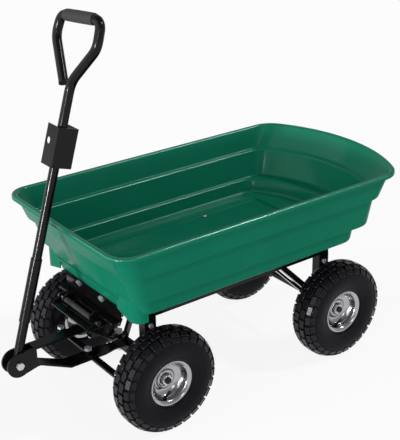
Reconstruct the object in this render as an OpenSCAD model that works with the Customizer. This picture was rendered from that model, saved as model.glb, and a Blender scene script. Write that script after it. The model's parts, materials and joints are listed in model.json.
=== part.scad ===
// Tipping dump cart: a stepped tub that tips back over its rear axle, on a steel frame
// with a steered front axle, two tie rods and a folding pull handle.
// +X is forward, +Y is the cart's left side, +Z is up, and the wheels stand on z = 0.

/* [Wheels] */
// Tyre outer diameter
wheel_d = 260; // [220:1:300]
// Tyre width
tyre_w = 75; // [60:1:90]
// Rim flange diameter
rim_d = 114; // [100:1:130]
// Rim width over its flanges
rim_w = 58.8; // [50:0.2:62]
// Rim sheet thickness
rim_t = 2.5; // [1.5:0.1:4]
// Axle diameter
axle_d = 16; // [12:0.5:20]
// Hub outer diameter
hub_d = 34; // [28:0.5:40]
// Depth of the hub face behind the outer flange
hub_recess = 28; // [20:0.5:34]
// Hub length
hub_l = 36; // [28:0.5:44]
// Distance between the axles
wheel_base = 544.7; // [480:0.1:620]
// Distance between the wheels' middle planes
track = 392; // [370:1:430]

/* [Frame] */
// Side of the square rails
rail_w = 25; // [20:1:32]
// Sideways position of each rail's middle
rail_y = 132; // [126:0.5:136]
// Height of the rails above the tyres
rail_lift = 7; // [5:0.5:20]
// Wall of the frame tubes
tube_t = 2; // [1.5:0.1:3]
// Leg width along the cart
leg_x = 32; // [26:1:38]
// Leg width across the cart
leg_y = 26; // [22:1:28]
// Height of the cross members that carry the tub
cross_h = 18; // [14:0.5:26]
// Width of the cross members
cross_w = 30; // [20:1:40]
// Rail length ahead of the front axle
rail_ahead = 40; // [36:0.5:60]
// Position of the rear cross member behind the middle
rear_cross = 225; // [180:1:240]
// Rear axle overhang past the wheels' middle planes
axle_over = 16; // [13:0.5:20]

/* [Steering] */
// Front axle beam width
beam_w = 25; // [20:1:30]
// Front axle beam height
beam_h = 24; // [18:1:28]
// Kingpin diameter
kingpin_d = 12; // [10:0.5:14]
// Knuckle sleeve diameter
sleeve_d = 24; // [20:0.5:28]
// Knuckle sleeve length
sleeve_l = 54.4; // [46:0.2:60]
// Thickness of the kingpin bracket ears
ear_t = 4; // [3:0.5:6]
// Length of the knuckle arms
arm_l = 87.65; // [70:0.05:100]
// Width of the tie rods and knuckle arms
rod_w = 17; // [14:0.5:20]
// Thickness of the tie rods and knuckle arms
rod_t = 6; // [4:0.5:8]
// Thickness of the fork's flat bars
fork_t = 5; // [4:0.5:8]
// Width of the fork's upper bar
fork_w = 34; // [28:1:40]
// Width of the fork's lower bar
fork_low_w = 42; // [34:1:50]
// Diameter of the steering pivot bolt
pivot_d = 12; // [10:0.5:14]
// Running gap between stacked pieces
gap = 0.3; // [0.3:0.05:0.5]
// Radial clearance of a pin in its bore
fit = 0.05; // [0.02:0.01:0.1]

/* [Handle] */
// Height of the handle pivot above the axle line
handle_lift = 52; // [40:1:70]
// Distance of the handle pivot ahead of the front axle
handle_reach = 276.65; // [260:0.05:300]
// Backward lean of the parked handle
handle_lean = 17; // [12:0.1:17.2]
// Handle tube diameter
tube_d = 22; // [18:0.5:25]
// Handle tube wall
handle_t = 2; // [1.5:0.1:3]
// Length of the straight shaft up to its bend
shaft_l = 658; // [600:1:700]
// Rise of the grip loop above the bend
loop_h = 139.5; // [130:0.5:170]
// Half width of the grip loop
loop_half = 85.5; // [82:0.5:100]
// Distance of the loop's middle to the right of the shaft
loop_shift = 11.5; // [8:0.5:17]
// Rise of each end of the grip bar from its middle
loop_tilt = 6.5; // [0:0.5:9]
// Distance between the shaft and the free end of the loop
loop_foot = 30; // [28:0.5:36]
// Diameter of the grip
grip_d = 28; // [25:0.5:32]
// Length of the grip
grip_l = 116; // [90:1:118]
// Diameter of the lower sleeve
cuff_d = 26; // [24.5:0.5:30]
// Clevis ear thickness
clevis_t = 5; // [4:0.5:7]
// Clevis ear radius about the pivot
clevis_r = 30; // [24:0.5:36]
// Clevis bolt diameter
clevis_bolt_d = 10; // [8:0.5:12]
// Height of the tow bracket
hitch_h = 91; // [80:1:100]
// Depth of the tow bracket across the cart
hitch_depth = 46; // [40:1:50]
// Tow bracket sheet thickness
hitch_t = 3; // [2:0.5:4]
// Tow pin hole diameter
hitch_d = 16; // [12:0.5:20]

/* [Tub] */
// Height of the tub rim above its floor panel
tub_h = 184; // [170:1:200]
// Half width over the rim
rim_half = 256; // [248:1:270]
// Front edge of the rim ahead of the front axle
rim_ahead = 146.65; // [140:0.05:152]
// Rear edge of the rim behind the middle
rim_rear = 493; // [480:1:510]
// Width of the rolled rim
lip_w = 11; // [9:0.5:14]
// Tub wall thickness
wall = 4; // [3:0.25:5]
// Height of the upper tier
tier1_h = 66; // [60:1:72]
// Height of the middle tier
tier2_h = 74; // [68:1:80]
// Ledge below the upper tier
ledge1 = 10; // [8:0.5:12]
// Ledge below the middle tier
ledge2 = 8.5; // [7:0.5:12]
// Ledge below the middle tier at the rear
ledge2_rear = 38; // [20:1:42]
// Draft of the side walls in degrees
draft_side = 5.7; // [4:0.1:7]
// Slope of the front wall in degrees
draft_front = 20.8; // [18:0.1:22]
// Slope of the front corners in degrees
draft_corner = 17; // [15:0.1:19]
// Slope of the rear wall's upper tier in degrees
draft_spout = 25; // [18:0.5:28]
// Slope of the rear wall's lower tiers in degrees
draft_rear = 11.2; // [9:0.1:13]
// Front corner radius at the rim
corner_r = 50; // [44:1:60]
// Rear corner radius at the rim
fillet_r = 70; // [60:1:80]
// Centre of the rear arc behind the middle
arc_back = 65; // [40:1:90]
// Half width of the front panel
panel_half = 140; // [130:1:146]
// Half width over the front apron's corners
apron_half = 203; // [196:1:206]
// Half width of the sunken floor
floor_half = 168; // [164:1:172]
// End of the sunken floor beyond the axle
floor_ahead = 27.65; // [18:0.05:31]
// Depth of the sunken floor
floor_drop = 7; // [5:0.5:9]

/* [Hinge and latch] */
// Position of the tip hinge behind the middle
hinge_back = 301; // [298:0.5:306]
// Distance of the tip hinge below the tub floor
hinge_drop = 15; // [14:0.5:18]
// Hinge pin diameter
hinge_d = 12; // [10:0.5:14]
// Latch plate half width
latch_half = 120; // [110:1:124]
// Latch plate thickness
latch_t = 4; // [3:0.5:5]
// Latch pin diameter
latch_pin_d = 8; // [6:0.5:9]
// Diameter of the latch grip
latch_grip_d = 13.5; // [12:0.5:15]
// Half length of the latch grip
latch_grip_half = 57; // [48:1:62]

/* [Hidden] */
$fn = 48;
green = [0.13, 0.42, 0.34];
black = [0.06, 0.06, 0.07];
zinc = [0.72, 0.73, 0.75];
rubber = [0.05, 0.05, 0.055];
grey = [0.28, 0.28, 0.29];

wheel_r = wheel_d / 2;
axle_z = wheel_r;
front_x = wheel_base / 2;
rim_front = front_x + rim_ahead;
floor_len = front_x + floor_ahead;
handle_z = axle_z + handle_lift;
rear_x = -front_x;
wheel_y = track / 2;
lip_t = 2.2;
seat_r = rim_d / 2 - 6.7;
flange_y = rim_w / 2;
hub_out = flange_y - hub_recess;
hub_in = hub_out - hub_l;
axle_end = wheel_y + axle_over;

rail_z = wheel_d + rail_lift;
rail_top = rail_z + rail_w;
rail_in = rail_y - rail_w / 2;
rail_out = rail_y + rail_w / 2;
rail_front_x = front_x + rail_ahead;
rail_rear_x = rear_x - leg_x / 2;
floor_z = rail_top + cross_h;
tie_w = rail_ahead - cross_w / 2;

// Heights of the steering stack, from the axle line upward
arm_top = axle_z + 3;
beam_z = arm_top + 0.5;
beam_top = beam_z + beam_h;
ear_low = axle_z - 0.5 - sleeve_l / 2;
ear_high = ear_low + sleeve_l;
kingpin_y = rail_y;
bracket_y = kingpin_y - 22;
rod1_z = arm_top + gap;
rod2_z = rod1_z + rod_t + gap;
tie_x = front_x + arm_l;
fork_low_top = arm_top + 0.2;
fork_end_z = beam_top + gap;

pivot_x = front_x + handle_reach;
clevis_in = tube_d / 2 + 0.7;
clevis_out = clevis_in + clevis_t;
clevis_back = pivot_x - 46;
clevis_high = handle_z + 31;
clevis_low = handle_z - 19;
loop_mid = -loop_shift;
grip_v = shaft_l + loop_h;
handle_path = [[0, -14], [0, shaft_l], [loop_mid + loop_half, grip_v - 53],
    [loop_mid + loop_half - 4, grip_v + loop_tilt], [loop_mid - loop_half + 7, grip_v - loop_tilt],
    [loop_mid - loop_half, grip_v - 53], [-loop_foot, shaft_l - 5]];
handle_bends = [0, 60, 45, 22, 22, 45, 0];
bend_lap = 1;
bend_swell = 0.4;
hitch_v = 469;
hitch_web = tube_d / 2 + 0.2;
hitch_back = -34;
hitch_front = 17;
hitch_hole_v = hitch_v + 0.6 * hitch_h;
hitch_hole_y = -(tube_d + hitch_d) / 2 - 0.8;

rim_z = floor_z + tub_h;
step1_z = rim_z - tier1_h;
step2_z = step1_z - tier2_h;
shoulder_z = floor_z + floor_drop;
hinge_x = -hinge_back;
hinge_z = floor_z - hinge_drop;
lug_in = rail_in - 6;
strap_in = rail_out + 2.5;
strap_l = 215;
bolt_y = 155;
bolt_ahead = 12.65;
bolt_front_x = front_x + bolt_ahead;
bolt_rear_x = -112;
latch_bolt_y = 50;
cuff_low = 102;
cuff_high = 255;
apron_x = rim_front - lip_w - (tier1_h + tier2_h - 50) * tan(draft_front) - 23.8;
apron_t = 4.5;
latch_x = apron_x;
plate_low = rail_z + 1;
pin_x = latch_x + 18;
pin_z = plate_low - 14;
pull_x = pin_x + 10;
pull_z = pin_z + 12;
tray_half = 101;
tray_left = 70;
tray_z = pin_z - 14;
tray_front = pin_x + 29;
nose_z = plate_low + 4.5;

// The origin sits under the middle of the overall length
origin_x = (pivot_x + clevis_r - rim_rear) / 2;

// Shared shapes

// Moves a piece from the axle-centred layout to the part's own frame
module placed() {
    translate([-origin_x, 0, 0]) children();
}

// Draws a left-hand piece on the chosen side
module sided(side) {
    mirror([0, side < 0 ? 1 : 0, 0]) children();
}

// Box between two opposite corners
module span(lo, hi) {
    translate(lo) cube(hi - lo);
}

// Cylinder along Y from y = lo to y = hi
module rod_y(x, z, d, lo, hi) {
    translate([x, lo, z]) rotate([-90, 0, 0]) cylinder(d = d, h = hi - lo);
}

// Cylinder along Z from z = lo to z = hi
module rod_z(x, y, d, lo, hi) {
    translate([x, y, lo]) cylinder(d = d, h = hi - lo);
}

// Hexagon head or nut of width flats
module hex(flats, h) {
    cylinder(d = flats / cos(30), h = h, $fn = 6);
}

// Side outline in X and Z, drawn out between two Y values
module plate_y(lo, hi) {
    translate([0, hi, 0]) rotate([90, 0, 0]) linear_extrude(height = hi - lo) children();
}

// Front outline in Y and Z, drawn out between two X values
module plate_x(lo, hi) {
    translate([lo, 0, 0]) rotate([90, 0, 90]) linear_extrude(height = hi - lo) children();
}

// Disc of the plate outlines
module disc(x, y, r) {
    translate([x, y]) circle(r = r);
}

// Square tube from corner to corner, hollow along one axis (0, 1 or 2)
module box_tube(lo, hi, axis, t) {
    inset = [for (i = [0:2]) i == axis ? -1 : t];
    difference() {
        span(lo, hi);
        span(lo + inset, hi - inset);
    }
}

// Frame

module rail(side) {
    sided(side) color(black)
        box_tube([rail_rear_x, rail_in, rail_z], [rail_front_x, rail_out, rail_top], 0, tube_t);
}

module front_tie_bar() {
    color(black)
        box_tube([rail_front_x - tie_w, -rail_in, rail_z], [rail_front_x, rail_in, rail_top], 1, tube_t);
}

module cross_member(x) {
    color(black)
        box_tube([x - cross_w / 2, -rail_out, rail_top], [x + cross_w / 2, rail_out, floor_z], 1, tube_t);
}

module front_leg(side) {
    sided(side) color(black)
        box_tube([front_x - leg_x / 2, rail_y - leg_y / 2, ear_high + ear_t],
            [front_x + leg_x / 2, rail_y + leg_y / 2, rail_z], 2, tube_t);
}

module rear_leg(side) {
    lo = rail_y - leg_y / 2;
    hi = rail_y + leg_y / 2;
    sided(side) color(black) difference() {
        box_tube([rear_x - leg_x / 2, lo, axle_z - 20], [rear_x + leg_x / 2, hi, rail_z], 2, tube_t);
        rod_y(rear_x, axle_z, axle_d + 2 * fit, lo - 1, hi + 1);
    }
}

module rear_axle() {
    color(black) rod_y(rear_x, axle_z, axle_d, -axle_end, axle_end);
}

// Spacers between the legs and hubs, and the end nuts
module rear_axle_fittings() {
    leg_face = rail_y + leg_y / 2;
    color(zinc) for (side = [1, -1]) sided(side) difference() {
        union() {
            rod_y(rear_x, axle_z, axle_d + 8, leg_face, wheel_y + hub_in - gap);
            translate([rear_x, wheel_y + hub_out + gap, axle_z]) rotate([-90, 0, 0]) hex(24, 10);
        }
        rod_y(rear_x, axle_z, axle_d + 2 * fit, leg_face - 1, axle_end + 1);
    }
}

// Broad bar and thin bar from the rail down to the rear leg
module rear_brace(side) {
    foot_x = rear_x + leg_x / 2;
    reach = 110;
    sided(side) color(black) plate_y(rail_y - 9, rail_y + 9) {
        polygon([[foot_x, rail_z - reach], [foot_x + reach, rail_z], [foot_x + reach + 20, rail_z],
            [foot_x, rail_z - reach - 20]]);
        polygon([[foot_x, rail_z - reach - 27], [foot_x + reach + 27, rail_z], [foot_x + reach + 35, rail_z],
            [foot_x, rail_z - reach - 35]]);
    }
}

// Beam with a C-shaped kingpin bracket at each end
module front_axle_beam() {
    ear_out = kingpin_y + 16;
    half = 14;
    color(black) difference() {
        union() {
            span([front_x - beam_w / 2, -bracket_y, beam_z], [front_x + beam_w / 2, bracket_y, beam_top]);
            for (side = [1, -1]) sided(side) {
                span([front_x - half, bracket_y, ear_low - ear_t], [front_x + half, bracket_y + 4,
                    ear_high + ear_t]);
                for (z = [ear_low - ear_t, ear_high]) {
                    span([front_x - half, bracket_y, z], [front_x + half, kingpin_y, z + ear_t]);
                    rod_z(front_x, kingpin_y, 2 * half, z, z + ear_t);
                }
            }
        }
        for (side = [1, -1]) rod_z(front_x, side * kingpin_y, kingpin_d + 2 * fit, 0, rail_z);
        rod_z(front_x, 0, pivot_d + 2 * fit, beam_z - 1, beam_top + 1);
    }
}

// Pair of slanted bars from the beam up to the front cross member
module front_struts() {
    foot = 27;
    rise = rail_top - beam_top;
    head = foot + 0.45 * rise;
    color(black) for (side = [1, -1]) sided(side) plate_x(front_x - 6, front_x + 6)
        polygon([[foot - 6, beam_top], [foot + 6, beam_top], [head + 6, rail_top], [head - 6, rail_top]]);
}

module kingpin(side) {
    sided(side) color(zinc) {
        rod_z(front_x, kingpin_y, kingpin_d, ear_low - ear_t, ear_high + ear_t);
        translate([front_x, kingpin_y, ear_low - ear_t - 8]) hex(19, 8);
    }
}

module steering_pivot_bolt() {
    top = fork_end_z + fork_t + gap;
    low = fork_low_top - fork_t - gap;
    color(zinc) {
        rod_z(front_x, 0, pivot_d, low - 12, top);
        translate([front_x, 0, top]) hex(19, 7.5);
        translate([front_x, 0, low - 10]) hex(19, 10);
    }
}

// Fixed lugs on the rails' inner faces
module hinge_lugs() {
    color(black) for (side = [1, -1]) sided(side) difference() {
        plate_y(lug_in, rail_in) {
            disc(hinge_x, hinge_z, hinge_d);
            polygon([[hinge_x - hinge_d * 0.9, hinge_z - 4], [hinge_x, hinge_z - 24],
                [hinge_x + 45, hinge_z - 24], [hinge_x + 45, hinge_z - 4],
                [hinge_x + hinge_d * 0.9, hinge_z]]);
        }
        rod_y(hinge_x, hinge_z, hinge_d + 2 * fit, lug_in - 1, rail_in + 1);
    }
}

// Through pin with a head at each end
module hinge_pin() {
    end = strap_in + 6 + gap;
    color(zinc) {
        rod_y(hinge_x, hinge_z, hinge_d, -end - 3, end + 3);
        for (side = [1, -1]) sided(side) rod_y(hinge_x, hinge_z, hinge_d + 5, end, end + 4);
    }
}

// Bent tray under the front tie bar, with an ear at each side for the latch pin
module latch_bracket() {
    back = latch_x - 8;
    color(black) difference() {
        union() {
            plate_y(-tray_half, tray_left) polygon([[rail_front_x - tie_w, rail_z], [back, rail_z],
                [back, tray_z + 4], [tray_front, tray_z + 4], [tray_front, tray_z], [back - 4, tray_z],
                [back - 4, rail_z - 4], [rail_front_x - tie_w, rail_z - 4]]);
            for (y = [-tray_half, tray_left - 4]) plate_y(y, y + 4) {
                polygon([[back, tray_z + 4], [tray_front, tray_z + 4], [pin_x + 9, pin_z], [pin_x - 9, pin_z],
                    [back, tray_z + 12]]);
                disc(pin_x, pin_z, 9);
            }
        }
        rod_y(pin_x, pin_z, latch_pin_d + 2 * fit, -tray_half - 1, tray_half + 1);
    }
}

module latch_pin() {
    color(zinc) {
        rod_y(pin_x, pin_z, latch_pin_d, -tray_half - 3, tray_left + 3);
        rod_y(pin_x, pin_z, latch_pin_d + 5, -tray_half - 4, -tray_half - gap);
        rod_y(pin_x, pin_z, latch_pin_d + 5, tray_left + gap, tray_left + 4);
    }
}

// Torsion spring wound round the latch pin, with a straight leg at each end
spring_wire = 2;
spring_r = latch_pin_d / 2 + spring_wire / 2 + 0.4;
spring_pitch = 2.8;
spring_turns = 5.5;
spring_y = -36;
spring_rings = 8 * spring_turns;
spring_leg = 9;
function coil_at(i) = let (a = -90 + 45 * i)
    [pin_x + spring_r * cos(a), spring_y - spring_pitch * i / 8, pin_z + spring_r * sin(a)];
function coil_dir(i) = let (a = -90 + 45 * i, v = [-sin(a), -spring_pitch / (2 * PI * spring_r), cos(a)])
    v / norm(v);
spring_route = concat([coil_at(0) - [spring_leg, 0, 0]], [for (i = [0:spring_rings]) coil_at(i)],
    [coil_at(spring_rings) + spring_leg * [-1, 0, 0]]);
spring_dirs = concat([[1, 0, 0]], [for (i = [0:spring_rings]) coil_dir(i)], [[-1, 0, 0]]);
spring_apart = min([for (i = [0:len(spring_route) - 1], j = [0:len(spring_route) - 1]) if (j - i > 4)
    norm(spring_route[i] - spring_route[j])]);
echo(least_gap_between_curls = spring_apart - spring_wire);

// Ring of six points square to a direction
function wire_ring(c, d, r) = let (u = cross(d, [0, 1, 0]), un = u / norm(u), w = cross(un, d))
    [for (k = [0:5]) c + r * (cos(60 * k) * un + sin(60 * k) * w)];

// Closed triangle tube over rings of n points
function tube_faces(rings, n) = concat(
    [for (k = [1:n - 2]) [0, k, k + 1]],
    [for (i = [0:rings - 2], k = [0:n - 1], h = [0, 1]) let (a = i * n + k, b = i * n + (k + 1) % n)
        h == 0 ? [a, a + n, b] : [b, a + n, b + n]],
    [for (k = [1:n - 2]) [(rings - 1) * n, (rings - 1) * n + k + 1, (rings - 1) * n + k]]);

module latch_spring() {
    points = [for (i = [0:len(spring_route) - 1])
        each wire_ring(spring_route[i], spring_dirs[i], spring_wire / 2)];
    color(zinc) polyhedron(points = points, faces = tube_faces(len(spring_route), 6), convexity = 8);
}

// Bolts that clamp the legs, seen on their outer faces
module frame_bolts() {
    face = rail_y + leg_y / 2;
    spots = [[front_x, rail_z - 20], [front_x, ear_high + 26], [rear_x, rail_z - 20]];
    color(zinc) for (side = [1, -1], p = spots) sided(side)
        translate([p.x, face, p.y]) rotate([-90, 0, 0]) hex(11, 4.5);
}

// Tub

tan_s = tan(draft_side);
tan_f = tan(draft_front);
tan_c = tan(draft_corner);
tan_r = tan(draft_rear);
tan_t = tan(draft_spout);
tier1 = tier1_h - 10;
tier3 = step2_z - shoulder_z;
function tiers(a, b, c, d, e, f) = let (low = a + b + c + d)
    [a, a + b, a + b + c, low, low + e, low + e + f];
side_in = tiers(lip_w, tier1 * tan_s, ledge1, tier2_h * tan_s, ledge2, tier3 * tan_s);
front_in = tiers(lip_w, tier1 * tan_f, ledge1, tier2_h * tan_c, ledge2, tier3 * tan_c);
rear_in = tiers(lip_w + 4, tier1 * tan_t, ledge1 + 2, tier2_h * tan_r, ledge2_rear, tier3 * tan_r);
panel_low = step2_z - 16;

// One level of the shell: height, the tier corner it follows, and a further inset
function straight_in(z) = front_in[1] + (step1_z - z) * tan_f;
function panel_in(z, i) = i < 2 || z < panel_low ? front_in[i] : min(straight_in(z), front_in[i]);
function level(z, i, more) =
    [z, side_in[i] + more, front_in[i] + more, rear_in[i] + more, panel_in(z, i) + more];
function flare(z, d) = [z, d, d, d, d];

outer_levels = [
    level(shoulder_z, 5, 9), level(shoulder_z + 2.6, 5, 2.6), level(shoulder_z + 9, 5, -0.9),
    level(step2_z - 2, 4, 0), level(step2_z, 4, -1.5), level(step2_z + 1, 3, 2), level(step2_z + 3, 3, 0),
    level(step1_z - 2, 2, 0), level(step1_z, 2, -1.5), level(step1_z + 1, 1, 2), level(step1_z + 3, 1, 0),
    level(rim_z - 14, 0, 0.6), flare(rim_z - 12, lip_w - 2), flare(rim_z - 11, 2), flare(rim_z - 9, 0),
    flare(rim_z - 4, 0), flare(rim_z - 1.2, 1.3), flare(rim_z, 4.2)];
inner_levels = [
    flare(rim_z, 8), flare(rim_z - 1.2, 10.8), level(rim_z - 4.5, 0, 1.8), level(rim_z - 12, 0, wall),
    level(step1_z + 7, 1, wall), level(step1_z + 5, 1, wall + 1.5), level(step1_z + 4, 2, wall - 1.5),
    level(step1_z + 1, 2, wall), level(step2_z + 7, 3, wall), level(step2_z + 5, 3, wall + 1.5),
    level(step2_z + 4, 4, wall - 1.5), level(step2_z + 1, 4, wall), level(shoulder_z + 13, 5, wall - 0.9),
    level(shoulder_z + 6.4, 5, wall + 2.6), level(shoulder_z + wall, 5, wall + 9)];

corner_n = 7;
fillet_n = 7;
arc_n = 9;
crown = 1.2;

// Left half of the outline at one level, from the front middle to the rear middle
function arc_points(c, r, a0, a1, i0, n) =
    [for (i = [i0:n]) let (a = a0 + (a1 - a0) * i / n) [c.x + r * cos(a), c.y + r * sin(a)]];
function half_ring(l) = let (
    w = rim_half - l[1], xf = rim_front - l[2], xr = -rim_rear + l[3], xp = rim_front - l[4],
    rf = corner_r - 0.45 * l[1], rr = fillet_r - 0.6 * l[1], big = -arc_back - xr,
    xc = -arc_back - sqrt(pow(big - rr, 2) - pow(w - rr, 2)), a1 = atan2(w - rr, xc + arc_back),
    flat = concat(
        [[xp + crown, 0], [xp + 0.7 * crown, panel_half - 4], [xf + 0.3 * crown, panel_half + 3]],
        arc_points([xf - rf, w - rf], rf, 0, 90, 0, corner_n),
        arc_points([xc, w - rr], rr, 90, a1, 0, fillet_n),
        arc_points([-arc_back, 0], big, a1, 180, 1, arc_n)))
    [for (q = flat) [q.x, q.y, l[0]]];
function full_ring(l) = let (h = half_ring(l), n = len(h))
    concat(h, [for (i = [n - 2:-1:1]) [h[i].x, -h[i].y, h[i].z]]);

module tub_shell() {
    levels = concat(outer_levels, inner_levels);
    rings = [for (l = levels) full_ring(l)];
    n = len(rings[0]);
    m = len(rings);
    walls = [for (i = [0:m - 2], k = [0:n - 1], h = [0, 1]) let (a = i * n + k, b = i * n + (k + 1) % n)
        h == 0 ? [a, a + n, b] : [b, a + n, b + n]];
    mid = n / 2;
    low_cap = [for (k = [mid + 1:mid + n - 2]) [mid, k % n, (k + 1) % n]];
    high_cap = [for (f = low_cap) [for (k = [2, 1, 0]) (m - 1) * n + f[k]]];
    polyhedron(points = [for (r = rings) each r],
        faces = concat(walls, low_cap, high_cap), convexity = 10);
}

floor_bolts = [for (x = [bolt_rear_x, bolt_front_x], y = [-bolt_y, bolt_y]) [x, y]];
latch_bolt_z = floor_z - 6;
apron_low = floor_z - 16;
apron_corner_low = floor_z - 14;

// Outer face of the apron, which carries on the front panel's slope
function apron_face(z) = rim_front - straight_in(z) - 1.2;

// Places bolts square to the apron
module on_apron(y, z) {
    translate([apron_face(z), y, z]) rotate([0, 90 + draft_front, 0]) children();
}

// Hollow corner of the apron below the middle tier, open at its foot
module apron_corner(t, lo, hi) {
    x = apron_x - t;
    y = apron_half - t;
    translate([0, 0, lo]) linear_extrude(height = hi - lo) polygon([[x, panel_half - 12 + t], [x, y - 27],
        [x - 3, y - 17], [x - 10, y - 8], [x - 20, y - 2], [x - 36 + 2 * t, y],
        [x - 36 + 2 * t, panel_half - 12 + t]]);
}

module tub() {
    color(green) difference() {
        union() {
            tub_shell();
            span([-floor_len, -floor_half, floor_z], [floor_len, floor_half, shoulder_z + wall / 2]);
            plate_y(4 - panel_half, panel_half - 4) polygon([[apron_face(panel_low + 2), panel_low + 2],
                [apron_face(apron_low), apron_low], [apron_face(apron_low) - apron_t, apron_low],
                [apron_face(panel_low + 2) - apron_t, panel_low + 2]]);
            for (side = [1, -1]) sided(side) difference() {
                apron_corner(0, apron_corner_low, step2_z - 1);
                apron_corner(3, apron_corner_low - 1, step2_z - 12);
                rotate([90, 0, 90]) linear_extrude(height = rim_front)
                    polygon([[panel_half - 20, apron_corner_low - 1], [apron_half - 12, apron_corner_low - 1],
                        [panel_half - 20, apron_corner_low + 18]]);
            }
        }
        span([wall - floor_len, wall - floor_half, floor_z + wall],
            [floor_len - wall, floor_half - wall, rim_z]);
        for (p = floor_bolts) rod_z(p.x, p.y, 8.4, floor_z - 1, floor_z + wall + 1);
        for (side = [1, -1]) on_apron(side * latch_bolt_y, latch_bolt_z) translate([0, 0, -apron_t - 2])
            cylinder(d = 8.4, h = apron_t + 4);
    }
}

// Strap under the tub floor with a drop ear for the hinge pin
module tub_hinge(side) {
    sided(side) color(black) difference() {
        union() {
            span([hinge_x - 14, strap_in, floor_z - 5], [hinge_x + strap_l, strap_in + 18, floor_z]);
            plate_y(strap_in, strap_in + 6) {
                disc(hinge_x, hinge_z, hinge_d);
                polygon([[hinge_x - 12, hinge_z], [hinge_x + 12, hinge_z], [hinge_x + 34, floor_z - 5],
                    [hinge_x - 14, floor_z - 5]]);
            }
        }
        rod_y(hinge_x, hinge_z, hinge_d + 2 * fit, strap_in - 1, strap_in + 7);
        rod_z(bolt_rear_x, bolt_y, 8.4, floor_z - 6, floor_z + 1);
    }
}

// Plate bent to the apron's slope, with a forward lip that the hooks hold down
module latch_plate() {
    foot = apron_face(apron_low);
    over = latch_t / cos(draft_front);
    color(black) difference() {
        plate_y(-latch_half, latch_half) polygon([[foot, plate_low], [latch_x + 11, plate_low],
            [latch_x + 11, plate_low + latch_t], [foot + over, plate_low + latch_t], [foot + over, apron_low],
            [apron_face(floor_z) + over, floor_z], [apron_face(floor_z), floor_z], [foot, apron_low]]);
        for (side = [1, -1]) on_apron(side * latch_bolt_y, latch_bolt_z) translate([0, 0, -1])
            cylinder(d = 8.4, h = latch_t + 2);
    }
}

module latch_plate_bolts() {
    back = apron_t * cos(draft_front);
    color(zinc) for (side = [1, -1]) on_apron(side * latch_bolt_y, latch_bolt_z) {
        translate([0, 0, -back - 8]) cylinder(d = 8, h = back + latch_t + 8);
        translate([0, 0, latch_t]) hex(15, 6);
        translate([0, 0, -back - 6]) hex(13, 6);
    }
}

// Low round heads on the sunken floor
module tub_floor_bolts() {
    top = floor_z + wall;
    color(zinc) for (p = floor_bolts) {
        rod_z(p.x, p.y, 8, floor_z - 8, top);
        rod_z(p.x, p.y, 18, top, top + 3);
        translate([p.x, p.y, floor_z - (p.x < 0 ? 11 : 6)]) hex(13, 6);
    }
}

// Latch

module latch_lever() {
    color(black) difference() {
        union() {
            for (side = [1, -1]) sided(side) plate_y(latch_grip_half + 0.5, latch_grip_half + 5.5) {
                disc(pin_x, pin_z, 9);
                disc(pull_x, pull_z, 9);
                polygon([[pin_x - 9, pin_z], [pin_x + 9, pin_z], [pull_x + 8, pull_z],
                    [pull_x - 2, pull_z + 12], [pin_x + 2, nose_z + 7], [latch_x + 5.5, nose_z + 7],
                    [latch_x + 5.5, nose_z], [latch_x + 12.5, nose_z], [latch_x + 12.5, plate_low - 2]]);
            }
            rod_y(pull_x, pull_z, 8, -latch_grip_half - 1, latch_grip_half + 1);
        }
        rod_y(pin_x, pin_z, latch_pin_d + 2 * fit, -tray_half, tray_half);
    }
}

module latch_grip() {
    color(grey) difference() {
        rod_y(pull_x, pull_z, latch_grip_d, -latch_grip_half, latch_grip_half);
        rod_y(pull_x, pull_z, 8.1, -latch_grip_half - 1, latch_grip_half + 1);
    }
}

// Steering fork

// Flat bar upper: level from the clevis, then down to the pivot over the beam
module yoke_upper_bar() {
    low = fork_end_z;
    high = clevis_high - fork_t;
    end = front_x - 13;
    color(black) difference() {
        intersection() {
            plate_y(-fork_w / 2, fork_w / 2) polygon([[end, low], [front_x + 26, low], [front_x + 94, high],
                [clevis_back, high], [clevis_back, high + fork_t], [front_x + 92, high + fork_t],
                [front_x + 24, low + fork_t], [end, low + fork_t]]);
            linear_extrude(height = rail_z) {
                disc(front_x, 0, 13);
                polygon([[front_x, -13], [front_x + 20, -13], [front_x + 40, -fork_w / 2],
                    [clevis_back, -fork_w / 2], [clevis_back, fork_w / 2], [front_x + 40, fork_w / 2],
                    [front_x + 20, 13], [front_x, 13]]);
            }
        }
        rod_z(front_x, 0, pivot_d + 2 * fit, low - 1, low + fork_t + 1);
    }
}

// Flat bar lower: down from the clevis, then level to the pivot under the beam
module yoke_lower_bar() {
    top = fork_low_top;
    start = clevis_low;
    end = front_x - 15;
    knee = front_x + 146;
    half = fork_low_w / 2;
    color(black) difference() {
        intersection() {
            plate_y(-half, half) polygon([[end, top], [knee, top], [clevis_back - 8, start + fork_t],
                [clevis_back, start + fork_t], [clevis_back, start], [clevis_back - 7, start],
                [knee + 1, top - fork_t], [end, top - fork_t]]);
            linear_extrude(height = rail_z) {
                disc(front_x, 0, 15);
                polygon([[front_x, -15], [front_x + 20, -15], [front_x + 50, -half], [knee, -half],
                    [clevis_back, -fork_w / 2], [clevis_back, fork_w / 2], [knee, half], [front_x + 50, half],
                    [front_x + 20, 15], [front_x, 15]]);
            }
        }
        rod_z(front_x, 0, pivot_d + 2 * fit, top - fork_t - 1, top + 1);
        rod_z(tie_x, 0, 10 + 2 * fit, top - fork_t - 1, top + 1);
    }
}

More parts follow.
